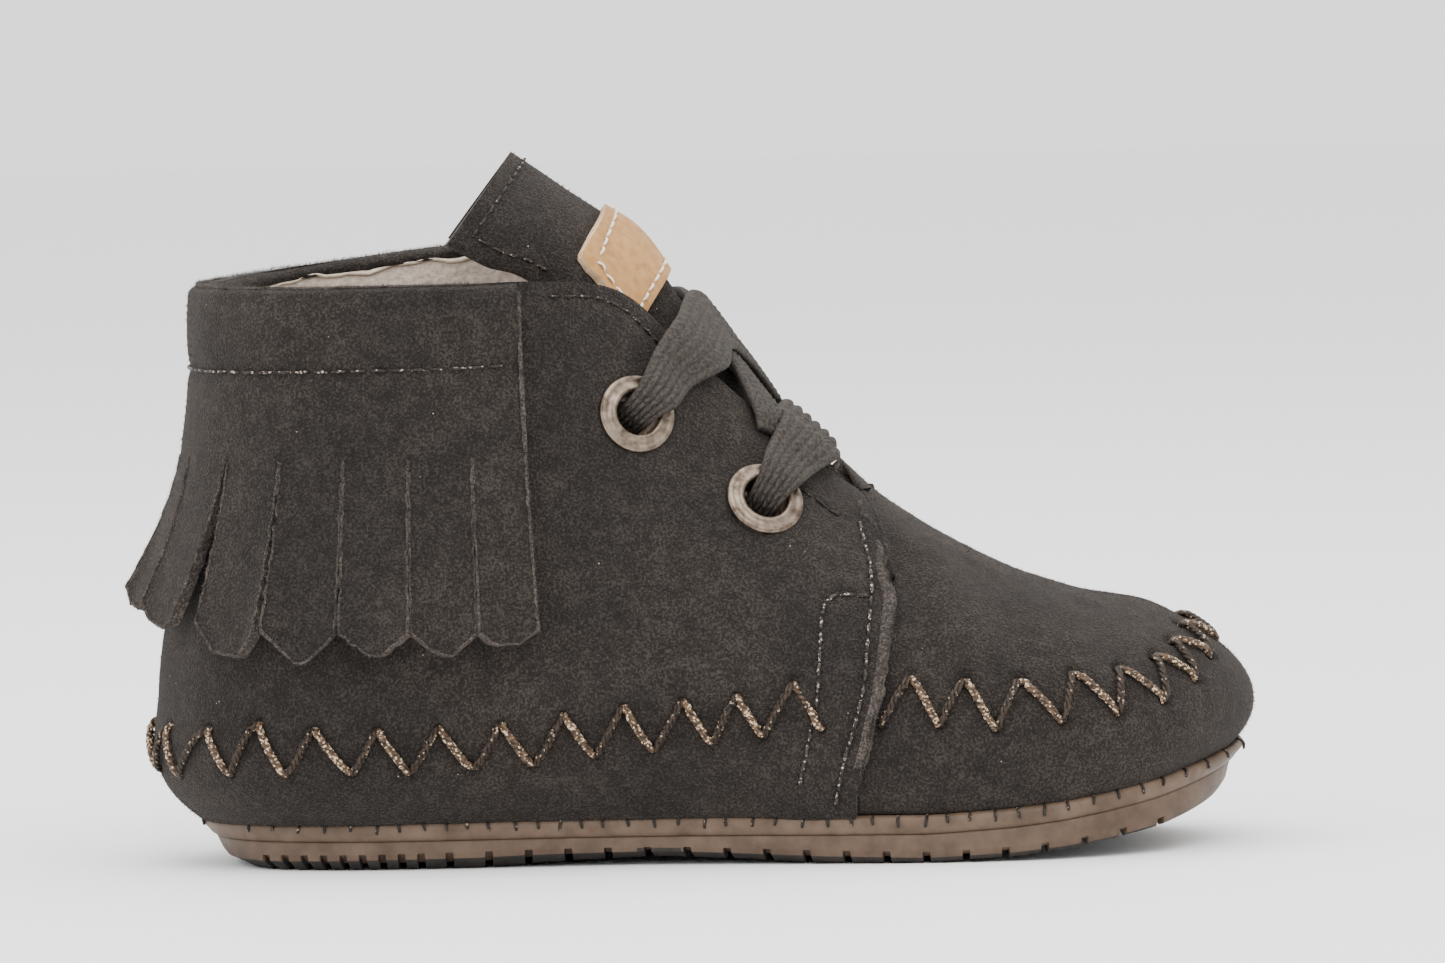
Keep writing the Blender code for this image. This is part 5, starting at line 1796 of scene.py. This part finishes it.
def addThreads():
    legs, holes = addZigzag()
    sewn, rand = newParts(), newParts()
    for sew in (sewSeams, sewCuff, sewTongue, sewLabel, sewTacks):
        sew(sewn)
    sewRand(rand)
    used = [finish[name] for name in ("darkThread", "paleThread", "cuffThread", "creamThread")]
    # the legs take a lit and a shaded copy of one thread: painted light and shade
    partsPiece("zigzagThread", legs, [finish["seamThreadPaintedLit"], finish["seamThreadPaintedShade"]], "suede")
    # dark discs painting the needle holes' shade
    partsPiece("needleHoleShade", holes, [finish["holeShadePaint"]], "suede")
    partsPiece("machineStitches", sewn, used, "suede")
    partsPiece("randStitches", rand, [finish["darkThread"]], "rand_leather")


addThreads()
print("threads made")

# Raw edges, a little thickened and lumpy
rolls = {
    "flapLow": 0.0118,  # height of the flap roll's foot
    "flapRadius": 0.00085,
    "flapSteps": 130,
    "cuffRadius": 0.00030,
    "stripRadius": 0.00017,
}


def cuffFront(side, steps):
    # the cuff's front edge, every 0.6 mm down
    reach = side * cuffRuns[side][0][-1]
    return [cuffPlace(reach, 0.0006 * step, cuff["lift"]) for step in range(2, steps)]


def addFlapRoll():
    # thick raw edge that rolls forward along each flap
    parts = newParts()
    low, count = rolls["flapLow"], rolls["flapSteps"] - 1
    for side in (outer, inner):
        centres, radii, ups = [], [], []
        for step in range(count + 1):
            height = low + (flapHeights[2][0] + 0.001 - low) * step / count
            edge = Vector((flapTarget(height) - 0.0004, origin.y + side * 0.06, height))
            hit = quarterTree.ray_cast(edge - Vector((0.0009, 0, 0)), Vector((0, -side, 0)))
            if not hit[0]:
                continue
            out = hit[1] if hit[1].y * side > 0 else -hit[1]
            lump = noise.noise(Vector((height * 260, side, 0)))
            fine = noise.noise(Vector((height * 1100, side, 4)))
            taper = min(1.0, (count - step) / 25)
            ahead = Vector((0.0006 + 0.0004 * lump + 0.0002 * fine, 0, 0))
            centres.append(hit[0] + ahead - out * 0.00045)
            radii.append((rolls["flapRadius"] + 0.00022 * lump + 0.00012 * fine) * (0.5 + 0.5 * taper))
            ups.append(out)
        smooth = []
        for index in range(len(centres)):
            near = centres[max(0, index - 1):index + 2]
            smooth.append(sum(near, Vector()) / len(near))
        if len(smooth) > 4:
            addTube(parts, smooth, radii, 10, 0, 0.85, ups)
    partsPiece("flapRoll", parts, [finish["rollSuede"]], "suede")


def addEdgeRolls():
    # raw edges of the cuff's front and of its strips
    parts = newParts()
    lines = [(line, rolls["stripRadius"]) for line in cuffBorders if len(line) > 3]
    lines += [(cuffFront(side, 36), rolls["cuffRadius"]) for side in (outer, inner)]
    for line, radius in lines:
        radii = []
        for point in line:
            radii.append(radius + 0.00013 * noise.noise(point * 700) + 0.00008 * noise.noise(point * 2600))
        addTube(parts, line, radii)
    partsPiece("edgeRolls", parts, [finish["rollSuede"]], "suede")


addFlapRoll()
addEdgeRolls()

# Loose fibres on cut edges and a thin nap over the suede
fuzz = {
    "edgeEach": 0.00003,  # metres of edge for each fibre
    "edgeLength": (0.00015, 0.0005),
    "rimLength": (0.0003, 0.0007),
    "napCount": 150000,
    "napShares": (0.38, 0.24, 0.26, 0.12),  # of the quarters, vamp, cuff and tongue
    "napLength": (0.0002, 0.0006),
    "width": 0.00005,
}


def fuzzAlong(parts, line, outFrom, each, lengths, kind=0):
    for before, here in zip(line, line[1:]):
        gap = (here - before).length
        if gap > 0.004:
            continue
        for _ in range(max(1, round(gap / each))):
            root = before.lerp(here, random.random())
            away = (root - outFrom(root)).normalized()
            aim = (away + Vector([random.gauss(0, 0.7) for _ in range(3)])).normalized()
            root += Vector([random.gauss(0, 0.00012) for _ in range(3)])
            addHair(parts, root, aim, random.uniform(*lengths), fuzz["width"], kind)


def axisOf(root):
    # place inside the shoe that edge fibres point away from
    return Vector((root.x * 0.7 - 0.005, origin.y, root.z - 0.001))


def addEdgeFibres():
    parts = newParts()
    each, lengths = fuzz["edgeEach"], fuzz["edgeLength"]
    for border in cuffBorders:
        fuzzAlong(parts, border, axisOf, each, lengths)
    for side in (outer, inner):
        fuzzAlong(parts, cuffFront(side, 70), axisOf, each * 0.6, lengths)
        flap = []
        for step in range(140):
            height = 0.010 + 0.034 * step / 140
            edge = Vector((flapTarget(height), origin.y + side * 0.05, height))
            hit = quarterTree.ray_cast(edge - Vector((0.0007, 0, 0)), Vector((0, -side, 0)))
            if hit[0]:
                flap.append(hit[0] + Vector((0.0006, 0, 0)))
        fuzzAlong(parts, flap, axisOf, each * 0.5, lengths)
    rim = [cuffPlace(distance / 1000, 0.0, 0.0) - Vector((0, 0, 0.0001)) for distance in range(-50, 51)]
    fuzzAlong(parts, rim, lambda root: root + Vector((0, 0, -0.01)), each * 0.4, fuzz["rimLength"])
    partsPiece("edgeFibres", parts, [finish["fibreLight"]], "suede", False)


def addNap():
    parts = newParts()
    lean = Vector((0.5, 0, -0.8)) * 0.5  # the nap lies forward and down
    for piece, share in zip((quarters, vamp, fringedCuff, tonguePiece), fuzz["napShares"]):
        mesh = piece.data
        faces = [face for face in mesh.polygons if face.material_index == 0 and face.area > 1e-9]
        areas = [face.area for face in faces]
        for face in random.choices(faces, weights=areas, k=round(fuzz["napCount"] * share)):
            corners = [mesh.vertices[index].co for index in face.vertices]
            mix = [random.random() for _ in corners]
            root = sum((corner * part for corner, part in zip(corners, mix)), Vector()) / sum(mix)
            upright = random.uniform(0.2, 0.9)
            stray = Vector([random.gauss(0, 0.6) for _ in range(3)])
            aim = (face.normal * upright + lean + stray).normalized()
            if aim.dot(face.normal) < 0.05:
                aim = (aim + face.normal * 0.4).normalized()
            addHair(parts, root, aim, random.uniform(*fuzz["napLength"]), fuzz["width"])
    partsPiece("nap", parts, [finish["fibreDark"]], "suede", False)


addEdgeFibres()
addNap()
print("fibres made")

# Sole
sole = {
    "bevel": 0.0024,
    "treadRows": (  # share of the length, height of the underside bevel, whose faces are painted dark as shade
        (0.0, 0.0011), (0.12, 0.0012), (0.30, 0.0014), (0.45, 0.0013), (0.60, 0.0009), (0.70, 0.0006),
        (0.85, 0.0003), (1.0, 0.0003),
    ),
    "bandTop": 0.0036,  # tread and band together
    "heelIn": 0.0032,  # how far the band is set in at the heel, and at the toe
    "toeIn": 0.0030,
    "grooveWidth": 0.0010,
    "grooveDepth": 0.0008,
    "heelGrooves": 0.0083,
    "heelPitch": 0.0024,
    "foreGrooves": 0.0310,
    "forePitch": 0.00485,
    "toePlain": 0.0090,
    "round": 0.00035,
    "insole": ((0.0, 0.0), (0.0, 0.0012), (0.0003, 0.0016), (0.0009, 0.0018)),  # inset and height
}


def groovePlaces():
    places = []
    at = sole["heelGrooves"]
    while at < sole["foreGrooves"] - sole["heelPitch"]:
        places.append(at)
        at += sole["heelPitch"]
    at = sole["foreGrooves"]
    while at < last["soleLength"] - sole["toePlain"]:
        places.append(at)
        at += sole["forePitch"]
    return places


def treadAt(station):
    # height of the underside bevel that shows under the band; its faces are painted dark as shade
    for low, high in zip(sole["treadRows"], sole["treadRows"][1:]):
        if station <= high[0]:
            return low[1] + (high[1] - low[1]) * max(0.0, station - low[0]) / (high[0] - low[0])
    return sole["treadRows"][-1][1]


def setIn(share, base):
    # inset of a layer, deeper at the heel and toe the lower it lies
    def inset(station):
        heel = max(0.0, 1 - station / 0.07) ** 1.5 * sole["heelIn"]
        toe = max(0.0, (station - 0.90) / 0.10) ** 1.5 * sole["toeIn"]
        return (heel + toe) * share + (base(station) if callable(base) else base)

    return inset


def addSole():
    band, rounding = sole["bandTop"], sole["round"]
    depth, half = sole["grooveDepth"], sole["grooveWidth"] / 2

    def bevelAt(station):
        return sole["bevel"] * treadAt(station) / 0.0014

    def above(rise):
        # height over the tread's top
        return lambda station: treadAt(station) + rise

    layers = [  # inset, height, share of the arch, share of the grooves
        (setIn(1.35, lambda station: 0.0006 + bevelAt(station)), 0.0, 1.0, 1.0),
        (setIn(1.30, bevelAt), 0.0001, 1.0, 1.0),
        (setIn(1.0, lambda station: 0.0001 + 0.0005 * treadAt(station) / 0.0014), above(-0.0001), 1.0, 0.5),
        (setIn(0.97, 0.0001), above(0.0001), 1.0, 0.4),
        (setIn(0.85, 0.0), above(depth * 0.9), 0.15, 0.2),
        (setIn(0.80, 0.0), above(depth * 0.9 + 0.0002), 0.0, 0.1),
        (setIn(0.55, 0.0002), band - rounding, 0.0, 0.0),
        (setIn(0.52, 0.0002 + rounding * 0.3), band - rounding * 0.3, 0.0, 0.0),
        (setIn(0.50, 0.0002 + rounding * 0.7), band, 0.0, 0.0),
    ]
    flank = [(half + 0.0001, 0.0), (half, 0.0), (half * 0.8, depth)]
    section = [(-shift, cut) for shift, cut in flank] + [(0.0, depth)] + flank[::-1]
    mesh = soleMesh("outsoleUnit", soleGrid(layers, groovePlaces(), section))
    outsole = addPiece("outsoleUnit", mesh, finish["soleRubber"], "outsole_rubber", "outsole")
    # painted shade: faces of the underside bevel below the band take a near-black rubber standing for the
    # shade under the sole
    mesh.materials.append(finish["soleUndersidePaintedShade"])
    for face in mesh.polygons:
        station = (face.center.x - origin.x - last["overhang"]) / last["soleLength"]
        station = min(max(station, 0.0), 1.0)
        if face.center.z - underside(station, 0.7) < treadAt(station) + 0.00005:
            face.material_index = 1
    mesh.set_sharp_from_angle(angle=math.radians(40))
    bottom = band + 0.00002
    top = last["tread"] + last["band"] + last["gap"] + last["rand"]
    layers = [
        (setIn(0.42, rounding * 0.9), bottom, 0.0, 0.0),
        (setIn(0.36, rounding * 0.35), bottom + rounding * 0.7, 0.0, 0.0),
        (setIn(0.30, 0.0), bottom + rounding * 1.8, 0.0, 0.0),
        (0.0, top - rounding * 2.0, 0.0, 0.0),
        (rounding * 0.6, top - rounding * 0.7, 0.0, 0.0),
        (rounding * 2.0, top, 0.0, 0.0),
    ]
    mesh = soleMesh("randBand", soleGrid(layers))
    rand = addPiece("randBand", mesh, finish["randLeather"], "rand_leather", "rand")
    inset = last["inset"] + last["wall"] + 2 * last["gap"]
    base = top + last["gap"]
    layers = [(inset + more, base + up, 0.0, 0.0) for more, up in sole["insole"]]
    mesh = soleMesh("insoleBoard", soleGrid(layers))
    insole = addPiece("insoleBoard", mesh, finish["insoleCloth"], "insole_lining", "insole")
    for unit in (outsole, rand, insole):
        closeMesh(unit.data)


addSole()
print("sole made")

# Floor and light
studio = {
    "floor": (0.97, 0.97, 0.97),
    "world": (1.0, 1.0, 1.0),
    "worldStrength": 1.7,
    "lights": (
        # name, place, size, power
        ("keyLight", (0.25, -0.75, 0.95), 0.9, 10.0),
        ("topLight", (-0.05, 0.15, 1.1), 1.1, 9.0),
        ("heelLight", (-0.9, -0.5, 0.5), 0.7, 4.0),
    ),
}


def addStudio():
    mesh = bpy.data.meshes.new("floor")
    mesh.from_pydata([(-4, -4, 0), (4, -4, 0), (4, 4, 0), (-4, 4, 0)], [], [(0, 1, 2, 3)])
    floor = bpy.data.objects.new("floor", mesh)
    scene.collection.objects.link(floor)
    material, _, shader = newMaterial("floorPaper", 0.7)
    shader.inputs["Base Color"].default_value = (*studio["floor"], 1.0)
    shader.inputs["Specular IOR Level"].default_value = 0.2
    mesh.materials.append(material)
    world = bpy.data.worlds.new("studio")
    scene.world = world
    world.use_nodes = True
    back = world.node_tree.nodes["Background"]
    back.inputs["Color"].default_value = (*studio["world"], 1.0)
    back.inputs["Strength"].default_value = studio["worldStrength"]
    for name, spot, size, power in studio["lights"]:
        lamp = bpy.data.objects.new(name, bpy.data.lights.new(name, "AREA"))
        lamp.data.size = size
        lamp.data.energy = power
        lamp.location = spot
        aim = Vector((0, 0, 0.03)) - Vector(spot)
        lamp.rotation_euler = aim.to_track_quat("-Z", "Y").to_euler()
        scene.collection.objects.link(lamp)


addStudio()
print("studio made")
